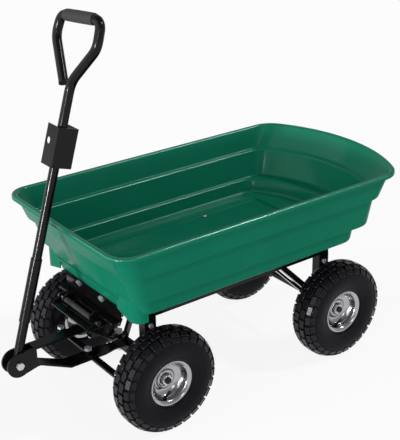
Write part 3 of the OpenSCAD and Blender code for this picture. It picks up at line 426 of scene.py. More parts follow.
@dataclass(frozen=True)
class Tub:
    """The stepped tub: shell, sunken floor, apron, mould lines and floor bolts."""

    rim_half: float = 256.0
    rim_front: float = 419.0
    rim_rear: float = 493.0
    rim_z: float = 494.0
    step1_z: float = 428.0
    step2_z: float = 354.0
    shoulder_z: float = 317.0
    floor_z: float = 310.0
    wall: float = 4.0
    lip: float = 11.0
    corner_r: float = 50.0
    fillet_r: float = 70.0
    corner_shrink: float = 0.45
    fillet_shrink: float = 0.6
    arc_back: float = 65.0
    crown: float = 1.2
    panel_half: float = 140.0
    panel_low: float = 338.0
    panel_ease: float = 4.0
    front_slope: float = math.tan(math.radians(20.8))
    floor_half: Point2 = (300.0, 168.0)
    floor_corner_r: float = 8.0
    floor_polish: float = 0.02
    apron_x: float = 350.0
    apron_low: float = 294.0
    apron_half: float = 203.0
    apron_wall: float = 4.5
    apron_set: float = 1.2
    apron_lap: float = 2.0
    apron_ease: float = 1.2
    # The rounded corner at each end of the apron
    turn: tuple[Point2, ...] = ((36, 0), (20, 2), (10, 8), (3, 17), (0, 27))
    turn_ends: Point2 = (152.0, 128.0)
    turn_drop: float = 14.0
    turn_rise: float = 18.0
    turn_rise_span: Point2 = (12.0, 71.0)
    turn_wall: float = 3.0
    # Insets of the section's six corners, from the rim down
    side_in: tuple[float, ...] = (11.0, 16.59, 26.59, 33.98, 42.48, 46.17)
    front_in: tuple[float, ...] = (11.0, 32.27, 42.27, 64.89, 73.39, 84.70)
    rear_in: tuple[float, ...] = (15.0, 41.11, 53.11, 67.77, 105.77, 113.09)
    arc_steps: tuple[int, int, int] = (12, 12, 20)
    bend_steps: int = 4
    # Number of the rim's outer edge in the section
    rim_corner: int = 8
    rear_dull: float = 110.0
    rear_polish: float = 0.15
    inner_polish: float = 0.14
    seam_x: float = 70.0
    seam_size: tuple[float, float, float] = (2.4, 1.2, 62.0)
    seam_ease: float = 0.5
    bolt_spots: tuple[Point2, ...] = ((285.0, 155.0), (285.0, -155.0), (-112.0, 155.0), (-112.0, -155.0))
    bolt_dome: tuple[float, float, float] = (6.4, 6.4, 2.6)
    shank: Point2 = (4.0, 12.0)
    nut: Point2 = (7.5, 6.0)
    nut_drop: Point2 = (3.0, 8.0)
    washer_r: Point2 = (9.0, 8.4)
    washer_h: float = 1.2

    def level(self, z: float, tier: int, more: float) -> Vector:
        """One level of the shell.

        Args:
            z: Height.
            tier: Which corner of the stepped section the level follows.
            more: Further inset.

        Returns:
            Height and the insets at the side, front, rear and front panel.
        """
        straight = self.front_in[1] + (self.step1_z - z) * self.front_slope
        plain = tier < 2 or z < self.panel_low
        panel = self.front_in[tier] if plain else min(straight, self.front_in[tier])
        return Vector((z, self.side_in[tier] + more, self.front_in[tier] + more, self.rear_in[tier] + more,
                       panel + more))

    def flare(self, z: float, inset: float) -> Vector:
        """One level of the rim, the same distance in all round."""
        return Vector((z, inset, inset, inset, inset))

    def section(self) -> list[tuple[Vector, float, float]]:
        """Corners of the shell's section, from the foot outside over the rim to the floor inside.

        Returns:
            Levels, each with the share of its sides that the rounding takes, in millimetres, and how far the
            corner is polished.
        """
        top, w, inner = self.rim_z, self.wall, self.inner_polish
        return [
            (self.level(self.shoulder_z - 0.2, 5, 14), 0, 0), (self.level(self.shoulder_z, 5, -0.4), 9, 0),
            (self.level(self.step2_z - 0.4, 4, 0), 3, 0), (self.level(self.step2_z, 3, 0), 4, 0),
            (self.level(self.step1_z - 0.4, 2, 0), 3, 0), (self.level(self.step1_z, 1, 0), 4, 0),
            (self.level(top - 13, 0, 0.5), 3, 0), (self.flare(top - 12, 0), 3, 0), (self.flare(top, 0), 5, 1),
            (self.flare(top - 0.3, self.lip + 1), 5, 0.4), (self.level(self.step1_z + 5, 1, w), 4, inner),
            (self.level(self.step1_z + 4, 2, w), 5, 1), (self.level(self.step2_z + 5, 3, w), 4, inner),
            (self.level(self.step2_z + 4, 4, w), 5, 1),
            (self.level(self.shoulder_z + w, 5, w - 0.4), 9, inner),
            (self.level(self.shoulder_z + w - 0.2, 5, w + 14), 0, inner)]

    def rounded_section(self) -> list[tuple[Vector, float]]:
        """The section with every corner rounded by a short curve.

        Returns:
            Levels in order, each with its polish.
        """
        corners = self.section()
        out: list[tuple[Vector, float]] = []
        for i, (here, cut, polish) in enumerate(corners):
            if cut == 0:
                out.append((here, polish))
                continue
            before, after = corners[i - 1][0], corners[i + 1][0]
            base = self.inner_polish if i > self.rim_corner else 0.0
            a = here.lerp(before, min(0.45, cut / max((before - here).xy.length, 1e-6)))
            b = here.lerp(after, min(0.45, cut / max((after - here).xy.length, 1e-6)))
            for k in range(self.bend_steps + 1):
                t = k / self.bend_steps
                q = a * (1 - t) ** 2 + here * 2 * t * (1 - t) + b * t * t
                out.append((q, polish if 0 < k < self.bend_steps else base))
        return out

    def arc(self, centre: Point2, radius: float, start: float, end: float, first: int,
            steps: int) -> list[Point2]:
        """Points of an arc.

        Args:
            centre: Middle of the arc.
            radius: Its radius.
            start: First angle in radians.
            end: Last angle in radians.
            first: Index of the first point kept.
            steps: Steps of the arc.

        Returns:
            The points.
        """
        turns = [start + (end - start) * i / steps for i in range(first, steps + 1)]
        return [(centre[0] + radius * math.cos(a), centre[1] + radius * math.sin(a)) for a in turns]

    def outline(self, level: Vector) -> list[Point2]:
        """Left half of the shell's outline, from the front middle to the rear middle.

        Args:
            level: Height and insets.

        Returns:
            The points.
        """
        half, front, rear = self.rim_half - level[1], self.rim_front - level[2], self.rim_rear - level[3]
        panel = self.rim_front - level[4]
        nose = self.corner_r - self.corner_shrink * level[1]
        heel = self.fillet_r - self.fillet_shrink * level[1]
        sweep = rear - self.arc_back
        heel_x = -self.arc_back - math.sqrt((sweep - heel) ** 2 - (half - heel) ** 2)
        meet = math.atan2(half - heel, heel_x + self.arc_back)
        flat = [(panel + self.crown, 0.0), (panel + 0.7 * self.crown, self.panel_half - self.panel_ease),
                (front + 0.3 * self.crown, self.panel_half + 3)]
        return [*flat,
                *self.arc((front - nose, half - nose), nose, 0, math.pi / 2, 0, self.arc_steps[0]),
                *self.arc((heel_x, half - heel), heel, math.pi / 2, meet, 0, self.arc_steps[1]),
                *self.arc((-self.arc_back, 0), sweep, meet, math.pi, 1, self.arc_steps[2])]

    def pan_outline(self, inset: float) -> list[Point2]:
        """Left half of the sunken floor's outline, with as many points as the shell's.

        Args:
            inset: Distance in from the outer edge.

        Returns:
            The points.
        """
        x, y, radius = self.floor_half[0] - inset, self.floor_half[1] - inset, self.floor_corner_r
        last = self.arc_steps[2]
        return [(x, 0.0), (x, y * 0.4), (x, y * 0.8),
                *self.arc((x - radius, y - radius), radius, 0, math.pi / 2, 0, self.arc_steps[0]),
                *self.arc((radius - x, y - radius), radius, math.pi / 2, math.pi, 0, self.arc_steps[1]),
                *[(-x, (y - radius) * (1 - i / last)) for i in range(1, last + 1)]]

    def ring(self, bm: bmesh.types.BMesh, half: list[Point2], z: float,
             polish: float = 0.0) -> list[bmesh.types.BMEdge]:
        """Closed loop of edges at one height.

        Args:
            bm: The mesh, with its edge layer.
            half: Left half of the outline.
            z: Height.
            polish: How far the loop is polished.

        Returns:
            The loop's edges.
        """
        whole = half + [(x, -y) for x, y in half[-2:0:-1]]
        verts = [bm.verts.new(spot(x, y, z)) for x, y in whole]
        rear = min(x for x, _ in whole) + self.rear_dull
        for v, (x, _) in zip(verts, whole):
            v[bm.verts.layers.float["edge"]] = min(polish, self.rear_polish) if x < rear else polish
        return [bm.edges.new((verts[i - 1], verts[i])) for i in range(len(verts))]

    def shell(self) -> bmesh.types.BMesh:
        """The shell with its sunken floor."""
        bm = bmesh.new()
        bm.verts.layers.float.new("edge")
        sill, pit, w = self.shoulder_z + self.wall, self.floor_z + self.wall, self.wall
        foot = [(2.0, self.floor_z), (0.4, self.floor_z + 0.6), (0.0, self.floor_z + 2),
                (0.0, self.shoulder_z - 0.5)]
        well = [(w, sill - 0.4), (w + 0.6, sill - 1), (w + 1.6, pit + 1.6), (w + 3.4, pit)]
        loops = [self.ring(bm, self.pan_outline(i), z) for i, z in foot]
        loops += [self.ring(bm, self.outline(v), v[0], polish) for v, polish in self.rounded_section()]
        loops += [self.ring(bm, self.pan_outline(i), z, self.floor_polish) for i, z in well]
        for a, b in zip(loops, loops[1:]):
            bmesh.ops.bridge_loops(bm, edges=a + b)
        bmesh.ops.holes_fill(bm, edges=loops[0] + loops[-1], sides=0)
        close(bm)
        return bm

    def apron(self) -> bmesh.types.BMesh:
        """Front apron that carries on the panel's slope down behind the latch plate."""
        bm = bmesh.new()
        half, top, back = self.panel_half - self.panel_ease, self.panel_low + self.apron_lap, -self.apron_wall
        corners = [(0.0, top), (0.0, self.apron_low), (back, self.apron_low), (back, top)]
        verts = [bm.verts.new(spot(self.apron_face(z) + x, -half, z)) for x, z in corners]
        out = bmesh.ops.extrude_face_region(bm, geom=[bm.faces.new(verts)])["geom"]
        bmesh.ops.translate(bm, vec=(0, 2 * half * MM, 0), verts=verts_of(out))
        bmesh.ops.recalc_face_normals(bm, faces=bm.faces)
        return bm

    def apron_face(self, z: float) -> float:
        """Forward place of the apron's outer face at a height."""
        return self.rim_front - self.front_in[1] - (self.step1_z - z) * self.front_slope - self.apron_set

    def apron_corners(self) -> bmesh.types.BMesh:
        """Rounded corner at each end of the apron, hollow and slanted along its foot."""
        bm = bmesh.new()
        x, y = self.apron_x, self.apron_half
        path = [(x - back, y - inward) for back, inward in self.turn] + [(x, end) for end in self.turn_ends]
        foot, (level, slant) = self.floor_z - self.turn_drop, self.turn_rise_span
        rises = [self.turn_rise * max(0.0, (y - level - py) / slant) for _, py in path]
        verts = [bm.verts.new(spot(px, py, foot + rise)) for (px, py), rise in zip(path, rises)]
        edges = [bm.edges.new(pair) for pair in zip(verts, verts[1:])]
        for v in verts_of(bmesh.ops.extrude_edge_only(bm, edges=edges)["geom"]):
            v.co.z = (self.step2_z - 1) * MM
        bmesh.ops.subdivide_edges(bm, edges=bm.edges[:], cuts=1, use_grid_fill=True)
        bmesh.ops.mirror(bm, geom=bm.verts[:] + bm.edges[:] + bm.faces[:], axis="Y", merge_dist=-1)
        bmesh.ops.recalc_face_normals(bm, faces=bm.faces)
        for face in bm.faces:
            if face.normal.x + abs(face.normal.y) < 0 or face.normal.x < -0.01:
                face.normal_flip()
        bmesh.ops.solidify(bm, geom=bm.faces[:], thickness=self.turn_wall * MM)
        close(bm)
        return bm

    def mould_lines(self) -> bmesh.types.BMesh:
        """Faint upright seams on the middle tier of both sides."""
        bm = bmesh.new()
        lean = (self.side_in[3] - self.side_in[2]) / (self.step1_z - self.step2_z)
        for side in Side:
            at = spot(self.seam_x, 0.0, (self.step1_z + self.step2_z) / 2)
            at.y = side.value * (self.rim_half - (self.side_in[2] + self.side_in[3]) / 2) * MM
            tilt = Matrix.Rotation(-side.value * math.atan(lean), 4, "X")
            size = Matrix.Diagonal((*(Vector(self.seam_size) * MM), 1))
            bmesh.ops.create_cube(bm, size=1.0, matrix=Matrix.Translation(at) @ tilt @ size)
        bmesh.ops.bevel(bm, geom=bm.edges[:], offset=self.seam_ease * MM, affect="EDGES", segments=2,
                        profile=0.5, material=-1)
        return bm

    def floor_bolts(self) -> bmesh.types.BMesh:
        """Domed heads on the floor, with the shanks and nuts below it."""
        bm = bmesh.new()
        top = self.floor_z + self.wall
        for x, y in self.bolt_spots:
            dome = Matrix.Translation(spot(x, y, top + 0.4)) @ Matrix.Diagonal((*self.bolt_dome, 1))
            bmesh.ops.create_uvsphere(bm, u_segments=20, v_segments=10, radius=MM, matrix=dome)
            nut_z = self.floor_z - self.nut_drop[0 if x > 0 else 1]
            for sides, (wide, tall), mid in ((16, self.shank, self.floor_z - 2), (6, self.nut, nut_z)):
                bmesh.ops.create_cone(bm, cap_ends=True, segments=sides, radius1=wide * MM, radius2=wide * MM,
                                      depth=tall * MM, matrix=Matrix.Translation(spot(x, y, mid)))
        return bm

    def washers(self) -> bmesh.types.BMesh:
        """Dark sealing washer under each domed head."""
        bm = bmesh.new()
        mid = self.floor_z + self.wall + self.washer_h / 2
        for x, y in self.bolt_spots:
            bmesh.ops.create_cone(bm, cap_ends=True, segments=28, radius1=self.washer_r[0] * MM,
                                  radius2=self.washer_r[1] * MM, depth=self.washer_h * MM,
                                  matrix=Matrix.Translation(spot(x, y, mid)))
        return bm

    def build(self) -> None:
        """Makes the tub's pieces."""
        # The domed heads take the paler zinc copy, whose brightness is painted highlight.
        settle("floor_bolts", self.floor_bolts(), "tub", GLINT_PAINTED_ZINC, ("tub_floor_bolts",))
        settle("floor_washers", self.washers(), "tub", BLACK_PLUG)
        settle("tub_shell", self.shell(), "tub", TUB_PLASTIC, ("tub",), smooth=50.0)
        for name, bm in (("tub_apron", self.apron()), ("tub_apron_corners", self.apron_corners())):
            piece = settle(name, bm, "tub", TUB_PLASTIC, smooth=50.0)
            edge = piece.modifiers.new("rounded edges", "BEVEL")
            edge.width = self.apron_ease * MM
            edge.segments = 3
            edge.angle_limit = math.radians(50.0)
        settle("tub_mould_lines", self.mould_lines(), "tub", TUB_PLASTIC)


@dataclass(frozen=True)
class Wheel:
    """Tyre, rim, valve, hub and bearing seal, drawn at the origin with the outer face to +Y."""

    steps: int = 96
    seat_r: float = 50.3
    rim_r: float = 57.0
    flange_y: float = 29.4
    hub_r: float = 17.0
    hub_out: float = 1.4
    hub_in: float = -34.6
    bore_r: float = 8.05
    race: Point2 = (11.0, 14.6)
    race_depth: float = 1.4
    seal_r: Point2 = (11.1, 14.5)
    seal_y: Point2 = (0.2, 1.1)
    seal_back: float = 1.3
    valve_lean: float = 52.0
    valve_at: tuple[float, float, float] = (5.0, 8.0, -46.0)
    knob_h: float = 5.0
    knob_share: float = 0.8
    knob_ease: float = 1.1
    knobs: int = 28
    knob_polish: float = 0.15
    # Sideways place, top radius, tilt, width and stagger of each row of knobs
    rows: tuple[tuple[float, float, float, float, float], ...] = (
        (9.6, 129.2, 3.0, 15.0, 0.0), (-9.6, 129.2, -3.0, 15.0, 0.5),
        (26.5, 124.6, 27.0, 13.0, 0.5), (-26.5, 124.6, -27.0, 13.0, 0.0),
        (34.6, 113.6, 62.0, 12.0, 0.5), (-34.6, 113.6, -62.0, 12.0, 0.0))

    def carcass(self) -> list[Point2]:
        """Section of the tyre under its knobs.

        Returns:
            Closed outline of radius and width.
        """
        outer = [(self.seat_r, 26.2), (56.8, 26.8), (58.6, 30.6), (62, 32.2), (64.4, 33.6), (67, 33.4),
                 (70, 34.4), (80, 36.6), (92, 37.3), (100, 37.0), (108, 35.4), (115, 31.6), (120, 26.0),
                 (123.4, 18.0), (125.2, 9.0), (125.6, 0.0)]
        inner = [(116, 0.0), (114, 14.0), (106, 26.0), (92, 31.0), (76, 30.0), (62, 25.0),
                 (self.seat_r, 20.0)]
        return outer + [(r, -y) for r, y in outer[-2::-1]] + [(r, -y) for r, y in inner[::-1]] + inner[1:]

    def knob(self, row: tuple[float, float, float, float, float], k: int) -> Matrix:
        """Place of one tread knob.

        Args:
            row: The row's sizes.
            k: Number of the knob round the tyre.

        Returns:
            Matrix for a unit cube, x outwards, y sideways, z round the tyre.
        """
        across, top, tilt, width, stagger = row
        turn = Matrix.Rotation((k + stagger) * math.tau / self.knobs, 4, "Y")
        length = self.knob_share * math.tau * top / self.knobs
        lean = Matrix.Rotation(math.radians(tilt), 4, "Z")
        size = Matrix.Diagonal((self.knob_h * 2 * MM, width * MM, length * MM, 1))
        at = Matrix.Translation((top * MM, across * MM, 0))
        return turn @ at @ lean @ Matrix.Translation((-self.knob_h * MM, 0, 0)) @ size

    def tyre(self) -> bmesh.types.BMesh:
        """Tyre with rows of knobs."""
        tread = bmesh.new()
        for row in self.rows:
            for k in range(self.knobs):
                bmesh.ops.create_cube(tread, size=1.0, matrix=self.knob(row, k))
        bmesh.ops.bevel(tread, geom=tread.edges[:], offset=self.knob_ease * MM, affect="EDGES", segments=1,
                        profile=0.5, material=-1)
        worn = tread.verts.layers.float.new("edge")
        for v in tread.verts:
            v[worn] = self.knob_polish
        knobs = bpy.data.meshes.new("tread")
        tread.to_mesh(knobs)
        tread.free()
        bm = bmesh.new()
        bm.verts.layers.float.new("edge")
        lathe(bm, self.carcass(), self.steps)
        close(bm)
        bm.from_mesh(knobs)
        bpy.data.meshes.remove(knobs)
        return bm

    def rim(self) -> bmesh.types.BMesh:
        """Pressed rim with a rolled flange on both sides and a dished web.

        Returns:
            The mesh, with each point's distance from the axis kept for the finish.
        """
        r, f = self.rim_r, self.flange_y
        outline = [(r, f, 1.0), (r, f - 2.2, 1.0), (50.0, f - 2.6, 1.5), (50.0, 2.6 - f, 1.5),
                   (r, 2.2 - f, 1.0), (r, -f, 1.0), (47.5, -f, 2.5), (47.5, 8.0, 3.0), (43.0, 1.2, 3.0),
                   (30.0, -3.6, 4.0), (17.2, -3.6, 0.4), (17.2, 4.6, 0.8), (22.5, 4.6, 1.2),
                   (24.5, -0.4, 2.0), (31.0, -0.6, 4.0), (41.0, 5.0, 4.5), (46.4, 15.0, 4.0),
                   (46.6, f - 6, 2.5), (50.4, f - 2.4, 2.0), (54.0, f, 1.5)]
        bm = bmesh.new()
        lathe(bm, rounded(outline, 4), self.steps)
        close(bm)
        radius = bm.verts.layers.float.new("radius")
        for v in bm.verts:
            v[radius] = math.hypot(v.co.x, v.co.z)
        return bm

    def valve(self) -> bmesh.types.BMesh:
        """Rubber valve stem that leans out of the rim towards the hub."""
        bm = bmesh.new()
        outline = [(0.01, 0, 0), (4.6, 0, 0.6), (4.6, 3, 1), (3.4, 6, 1), (3.0, 22, 0.4), (3.9, 22, 0.5),
                   (3.9, 31, 1), (0.01, 31, 0)]
        lathe(bm, rounded(outline), 20)
        close(bm)
        lean = Matrix.Rotation(math.radians(self.valve_lean), 4, "X")
        at = Matrix.Translation(Vector(self.valve_at) * MM)
        bmesh.ops.transform(bm, matrix=at @ lean, verts=bm.verts)
        return bm

    def hub(self) -> bmesh.types.BMesh:
        """Hub tube with a bearing race at each end."""
        r, bore, a, b, deep = self.hub_r, self.bore_r, self.hub_in, self.hub_out, self.race_depth
        small, large = self.race
        outline = [(bore, a, 0.4), (small, a, 0.4), (small, a + deep, 0), (large, a + deep, 0),
                   (large, a, 0.4), (r, a, 0.8), (r, b, 0.8), (large, b, 0.4), (large, b - deep, 0),
                   (small, b - deep, 0), (small, b, 0.4), (bore, b, 0.4)]
        bm = bmesh.new()
        lathe(bm, rounded(outline), 48)
        close(bm)
        return bm

    def seal(self) -> bmesh.types.BMesh:
        """Dark seal rings in the bearing races."""
        bm = bmesh.new()
        (small, large), (low, high) = self.seal_r, self.seal_y
        for y in (self.hub_in, self.hub_out - self.seal_back):
            outline = [(small, y + low, 0), (large, y + low, 0), (large, y + high, 0.3),
                       (small, y + high, 0.3)]
            lathe(bm, rounded(outline), 48)
        close(bm)
        return bm

    def build(self) -> None:
        """Makes the pieces of all four wheels."""
        for corner in Corner:
            body, end = f"wheel_{corner.ending}", corner.ending
            shapes = [("tyre", self.tyre(), TYRE_RUBBER, (f"tyre_{end}",), 40.0),
                      ("rim_sheet", self.rim(), RIM_SHEET, (f"rim_{end}",), 40.0),
                      ("valve", self.valve(), BLACK_PLUG, (), 40.0),
                      ("hub_tube", self.hub(), BRIGHT_ZINC, (f"hub_{end}",), 35.0),
                      ("bearing_seal", self.seal(), TYRE_RUBBER, (), 35.0)]
            for name, bm, finish, nodes, smooth in shapes:
                bmesh.ops.transform(bm, matrix=corner.place, verts=bm.verts)
                settle(f"{name}_on_{end}", bm, body, finish, nodes, smooth)


@dataclass(frozen=True)
class Handle:
    """Bent handle tube and its grip."""

    pivot: tuple[float, float, float] = (549.0, 0.0, 182.0)
    lean: float = 17.0
    tube_d: float = 22.0
    grip_d: float = 28.0
    grip_l: float = 116.0
    path: tuple[Point2, ...] = ((0, -14), (0, 658), (74, 744.5), (70, 804), (-90, 791), (-97, 744.5),
                                (-30, 653))
    bends: tuple[float, ...] = (0, 60, 45, 22, 22, 45, 0)
    bend_steps: int = 10

    @property
    def place(self) -> Matrix:
        """Matrix from the handle's own frame, Z along the shaft, to the shared frame."""
        return Matrix.Translation(spot(*self.pivot)) @ Matrix.Rotation(math.radians(-self.lean), 4, "Y")

    def at(self, i: int) -> Vector:
        """Corner of the path in the handle's own frame, in metres."""
        return Vector((0, self.path[i][0], self.path[i][1])) * MM

    def turn(self, i: int) -> float:
        """Angle that the path turns at a corner, in radians."""
        return (self.at(i) - self.at(i - 1)).angle(self.at(i + 1) - self.at(i))

    def setback(self, i: int) -> float:
        """Distance of a bend's start from its corner, in metres."""
        return self.bends[i] * MM * math.tan(self.turn(i) / 2)

    def tube(self) -> bmesh.types.BMesh:
        """The tube, drawn along its path by extruding and spinning one circle."""
        bm = bmesh.new()
        bmesh.ops.create_circle(bm, cap_ends=False, radius=self.tube_d / 2 * MM, segments=28,
                                matrix=Matrix.Translation(self.at(0)))
        ring = bm.edges[:]
        last = len(self.path) - 1
        here = self.at(0)
        for i in range(1, last + 1):
            along = (self.at(i) - self.at(i - 1)).normalized()
            goal = self.at(i) - along * (self.setback(i) if i < last else 0)
            out = bmesh.ops.extrude_edge_only(bm, edges=ring)["geom"]
            bmesh.ops.translate(bm, vec=goal - here, verts=verts_of(out))
            ring = edges_of(out)
            here = goal
            if i == last:
                break
            onward = (self.at(i + 1) - self.at(i)).normalized()
            axis = along.cross(onward).normalized()
            centre = here + axis.cross(along) * self.bends[i] * MM
            out = bmesh.ops.spin(bm, geom=ring, cent=centre, axis=axis, dvec=(0, 0, 0), angle=self.turn(i),
                                 steps=self.bend_steps, use_merge=False, use_normal_flip=False,
                                 use_duplicate=False)["geom_last"]
            ring = edges_of(out)
            here = self.at(i) + onward * self.setback(i)
        bmesh.ops.holes_fill(bm, edges=bm.edges[:], sides=0)
        close(bm)
        bmesh.ops.transform(bm, matrix=self.place, verts=bm.verts)
        return bm

    def grip(self) -> bmesh.types.BMesh:
        """Soft grip on the top bar, a little fuller in its middle."""
        bm = bmesh.new()
        r, half, bore = self.grip_d / 2, self.grip_l / 2, self.tube_d / 2 + 0.05
        outline = [(bore, -half, 0.5), (r - 1.4, -half, 2.5), (r - 0.5, 5 - half, 3), (r, 0, 20),
                   (r - 0.5, half - 5, 3), (r - 1.4, half, 2.5), (bore, half, 0.5)]
        lathe(bm, rounded(outline, 5), 40)
        close(bm)
        along = (self.at(4) - self.at(3)).normalized()
        near = self.at(3) + along * self.setback(3)
        far = self.at(4) - along * self.setback(4)
        turn = Vector((0, 1, 0)).rotation_difference(along).to_matrix().to_4x4()
        middle = Matrix.Translation((near + far) / 2)
        bmesh.ops.transform(bm, matrix=self.place @ middle @ turn, verts=bm.verts)
        return bm

    def build(self) -> None:
        """Makes the handle's pieces."""
        settle("bent_handle", self.tube(), "handle", FRAME_PAINT, ("handle_tube",))
        settle("loop_grip", self.grip(), "handle", GRIP_FOAM, ("handle_grip",), smooth=50.0)


@dataclass(frozen=True)
class Latch:
    """The latch's wound spring and its grip."""

    pin: Point2 = (368.01, 254.0)
    pull: Point2 = (378.01, 266.0)
    coil_r: float = 5.4
    wire: float = 2.0
    pitch: float = 2.8
    turns: float = 5.5
    turn_steps: int = 24
    start_y: float = -36.0
    leg: float = 9.0
    grip_half: float = 57.0
    grip_r: float = 6.75
    grip_bore: float = 4.05

    def spring(self) -> bmesh.types.BMesh:
        """Torsion spring round the latch pin, with a straight leg at each end."""
        bm = bmesh.new()
        start = spot(self.pin[0] - self.leg, self.start_y, self.pin[1] - self.coil_r)
        facing = Matrix.Rotation(math.pi / 2, 4, "Y")
        bmesh.ops.create_circle(bm, cap_ends=False, radius=self.wire / 2 * MM, segments=10,
                                matrix=Matrix.Translation(start) @ facing)
        ring = self.push(bm, bm.edges[:], Vector((self.leg * MM, 0, 0)))
        steps = int(self.turns * self.turn_steps)
        rise = Vector((0, -self.pitch * self.turns * MM / steps, 0))
        centre = spot(self.pin[0], self.start_y, self.pin[1])
        out = bmesh.ops.spin(bm, geom=ring, cent=centre, axis=(0, -1, 0), dvec=rise,
                             angle=math.tau * self.turns, steps=steps, use_merge=False,
                             use_normal_flip=False, use_duplicate=False)["geom_last"]
        self.push(bm, edges_of(out), Vector((-self.leg * MM, 0, 0)))
        bmesh.ops.holes_fill(bm, edges=bm.edges[:], sides=0)
        close(bm)
        return bm

    def push(self, bm: bmesh.types.BMesh, ring: list[bmesh.types.BMEdge],
             way: Vector) -> list[bmesh.types.BMEdge]:
        """Extrudes a ring of edges.

        Args:
            bm: The mesh.
            ring: The edges.
            way: How far, in metres.

        Returns:
            The new ring.
        """
        out = bmesh.ops.extrude_edge_only(bm, edges=ring)["geom"]
        bmesh.ops.translate(bm, vec=way, verts=verts_of(out))
        return edges_of(out)

    def grip(self) -> bmesh.types.BMesh:
        """Plain grip sleeve with eased ends."""
        bm = bmesh.new()
        half, r, bore = self.grip_half, self.grip_r, self.grip_bore
        lathe(bm, rounded([(bore, -half, 0.3), (r, -half, 1.2), (r, half, 1.2), (bore, half, 0.3)]), 32)
        close(bm)
        bmesh.ops.translate(bm, vec=spot(self.pull[0], 0, self.pull[1]), verts=bm.verts)
        return bm

    def build(self) -> None:
        """Makes the latch's pieces."""
        settle("wound_latch_spring", self.spring(), "chassis", BRIGHT_ZINC, ("latch_spring",))
        settle("latch_pull_grip", self.grip(), "latch", GRIP_FOAM, ("latch_grip",))


@dataclass(frozen=True)
class Lamp:
    """A far lamp: the way its light travels, its strength and its apparent width in degrees."""

    name: str
    way: tuple[float, float, float]
    energy: float
    width: float

    def build(self) -> None:
        """Adds the lamp to the scene."""
        data = bpy.data.lights.new(self.name, "SUN")
        data.energy = self.energy
        data.angle = math.radians(self.width)
        lamp = bpy.data.objects.new(self.name, data)
        lamp.rotation_mode = "QUATERNION"
        lamp.rotation_quaternion = Vector(self.way).to_track_quat("-Z", "Y")
        bpy.context.scene.collection.objects.link(lamp)


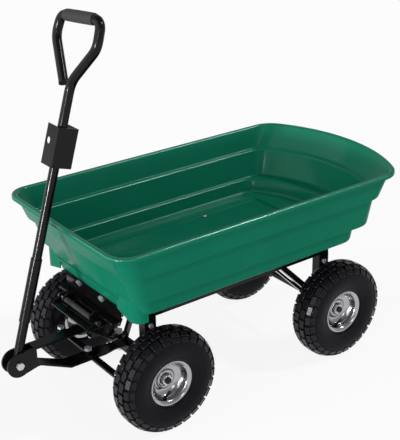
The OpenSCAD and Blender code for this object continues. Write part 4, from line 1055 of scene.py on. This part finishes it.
@dataclass(frozen=True)
class Studio:
    """Camera, floor and soft light."""

    azimuth: float = 143.6035
    elevation: float = 23.9729
    roll: float = -0.9603
    distance: float = 2778.7
    focal: float = 1022.1
    target: tuple[float, float, float] = (-106.1, -169.0, 300.0)
    image: tuple[int, int] = (400, 440)
    horizon: float = 0.55
    zenith: float = 0.2
    sky_span: Point2 = (0.1, 0.9)
    backdrop: float = 0.88
    floor_r: float = 40.0
    floor_tone: Colour = (0.95, 0.95, 0.95)
    lamps: tuple[Lamp, ...] = (
        Lamp("front key", (-1.0, 0.1, -0.1), energy=2.4, width=95.0),
        Lamp("rear light", (0.54, -0.38, -0.71), energy=1.15, width=7.0),
        Lamp("camera light", (-0.77, -0.57, -0.31), energy=0.2, width=6.0),
        Lamp("low front light", (-0.97, -0.24, -0.025), energy=1.9, width=2.5),
        Lamp("side light", (-0.11, -0.95, -0.3), energy=0.12, width=12.0))

    def camera(self) -> None:
        """Sets the camera at the photograph's angle."""
        a, e, r = (math.radians(v) for v in (self.azimuth, self.elevation, self.roll))
        back = Vector((math.sin(a) * math.cos(e), -math.cos(a) * math.cos(e), math.sin(e)))
        right = Vector((math.cos(a), math.sin(a), 0))
        up = back.cross(right)
        across = right * math.cos(r) + up * math.sin(r)
        upward = up * math.cos(r) - right * math.sin(r)
        data = bpy.data.cameras.new("camera")
        data.sensor_width = 36.0
        data.lens = self.focal / max(self.image) * data.sensor_width
        data.clip_start, data.clip_end = 0.05, 200.0
        camera = bpy.data.objects.new("camera", data)
        turn = Matrix((across, upward, back)).transposed().to_4x4()
        camera.matrix_world = Matrix.Translation(spot(*self.target) + back * self.distance * MM) @ turn
        bpy.context.scene.collection.objects.link(camera)
        bpy.context.scene.camera = camera

    def floor(self) -> None:
        """Lays a plain pale floor that looks evenly lit to the camera and in reflections."""
        bm = bmesh.new()
        bmesh.ops.create_circle(bm, cap_ends=True, radius=self.floor_r, segments=64)
        mesh = bpy.data.meshes.new("floor")
        bm.to_mesh(mesh)
        bm.free()
        floor = bpy.data.objects.new("floor", mesh)
        pale = bpy.data.materials.new("pale floor")
        pale.use_nodes = True
        tree = pale.node_tree
        shader = tree.nodes["Principled BSDF"]
        shader.inputs["Base Color"].default_value = (*self.floor_tone, 1)
        shader.inputs["Roughness"].default_value = 0.9
        shader.inputs["Specular IOR Level"].default_value = 0.1
        path = tree.nodes.new("ShaderNodeLightPath")
        seen = path.outputs["Is Camera Ray"]
        for ray in ("Is Glossy Ray", "Is Transmission Ray"):
            either = tree.nodes.new("ShaderNodeMath")
            either.operation = "MAXIMUM"
            tree.links.new(seen, either.inputs[0])
            tree.links.new(path.outputs[ray], either.inputs[1])
            seen = either.outputs["Value"]
        share = tree.nodes.new("ShaderNodeMath")
        share.operation = "MULTIPLY"
        share.inputs[1].default_value = self.backdrop
        tree.links.new(seen, share.inputs[0])
        white = tree.nodes.new("ShaderNodeEmission")
        white.inputs["Strength"].default_value = 1.0
        mix = tree.nodes.new("ShaderNodeMixShader")
        tree.links.new(share.outputs["Value"], mix.inputs["Fac"])
        tree.links.new(shader.outputs["BSDF"], mix.inputs[1])
        tree.links.new(white.outputs["Emission"], mix.inputs[2])
        tree.links.new(mix.outputs["Shader"], tree.nodes["Material Output"].inputs["Surface"])
        mesh.materials.append(pale)
        bpy.context.scene.collection.objects.link(floor)

    def light(self) -> None:
        """Sets a surround that is dimmer overhead than at the horizon, and the lamps."""
        world = bpy.data.worlds.new("studio")
        world.use_nodes = True
        tree = world.node_tree
        way = tree.nodes.new("ShaderNodeSeparateXYZ")
        tree.links.new(tree.nodes.new("ShaderNodeTexCoord").outputs["Generated"], way.inputs["Vector"])
        strength = tree.nodes.new("ShaderNodeMapRange")
        strength.inputs["From Min"].default_value = self.sky_span[0]
        strength.inputs["From Max"].default_value = self.sky_span[1]
        strength.inputs["To Min"].default_value = self.horizon
        strength.inputs["To Max"].default_value = self.zenith
        tree.links.new(way.outputs["Z"], strength.inputs["Value"])
        tree.links.new(strength.outputs["Result"], tree.nodes["Background"].inputs["Strength"])
        tree.nodes["Background"].inputs["Color"].default_value = (1, 1, 1, 1)
        bpy.context.scene.world = world
        for lamp in self.lamps:
            lamp.build()

    def build(self) -> None:
        """Sets up the studio."""
        bpy.context.scene.view_settings.view_transform = "Standard"
        self.camera()
        self.floor()
        self.light()


def dress_nodes() -> None:
    """Gives every CAD node the finish of its record slot."""
    for part in frame["record"]["subparts"]:
        node = frame["nodes"][part["node"]]
        node.data.materials.clear()
        node.data.materials.append(FINISHES[part["material_slot"]].material())


def main() -> None:
    """Builds the cart and its studio."""
    logging.basicConfig(level=logging.INFO, format="%(name)s: %(message)s")
    dress_nodes()
    for assembly in (Studio(), Tub(), Wheel(), Handle(), Latch(), SteelWork()):
        assembly.build()


if __name__ == "__main__":
    main()
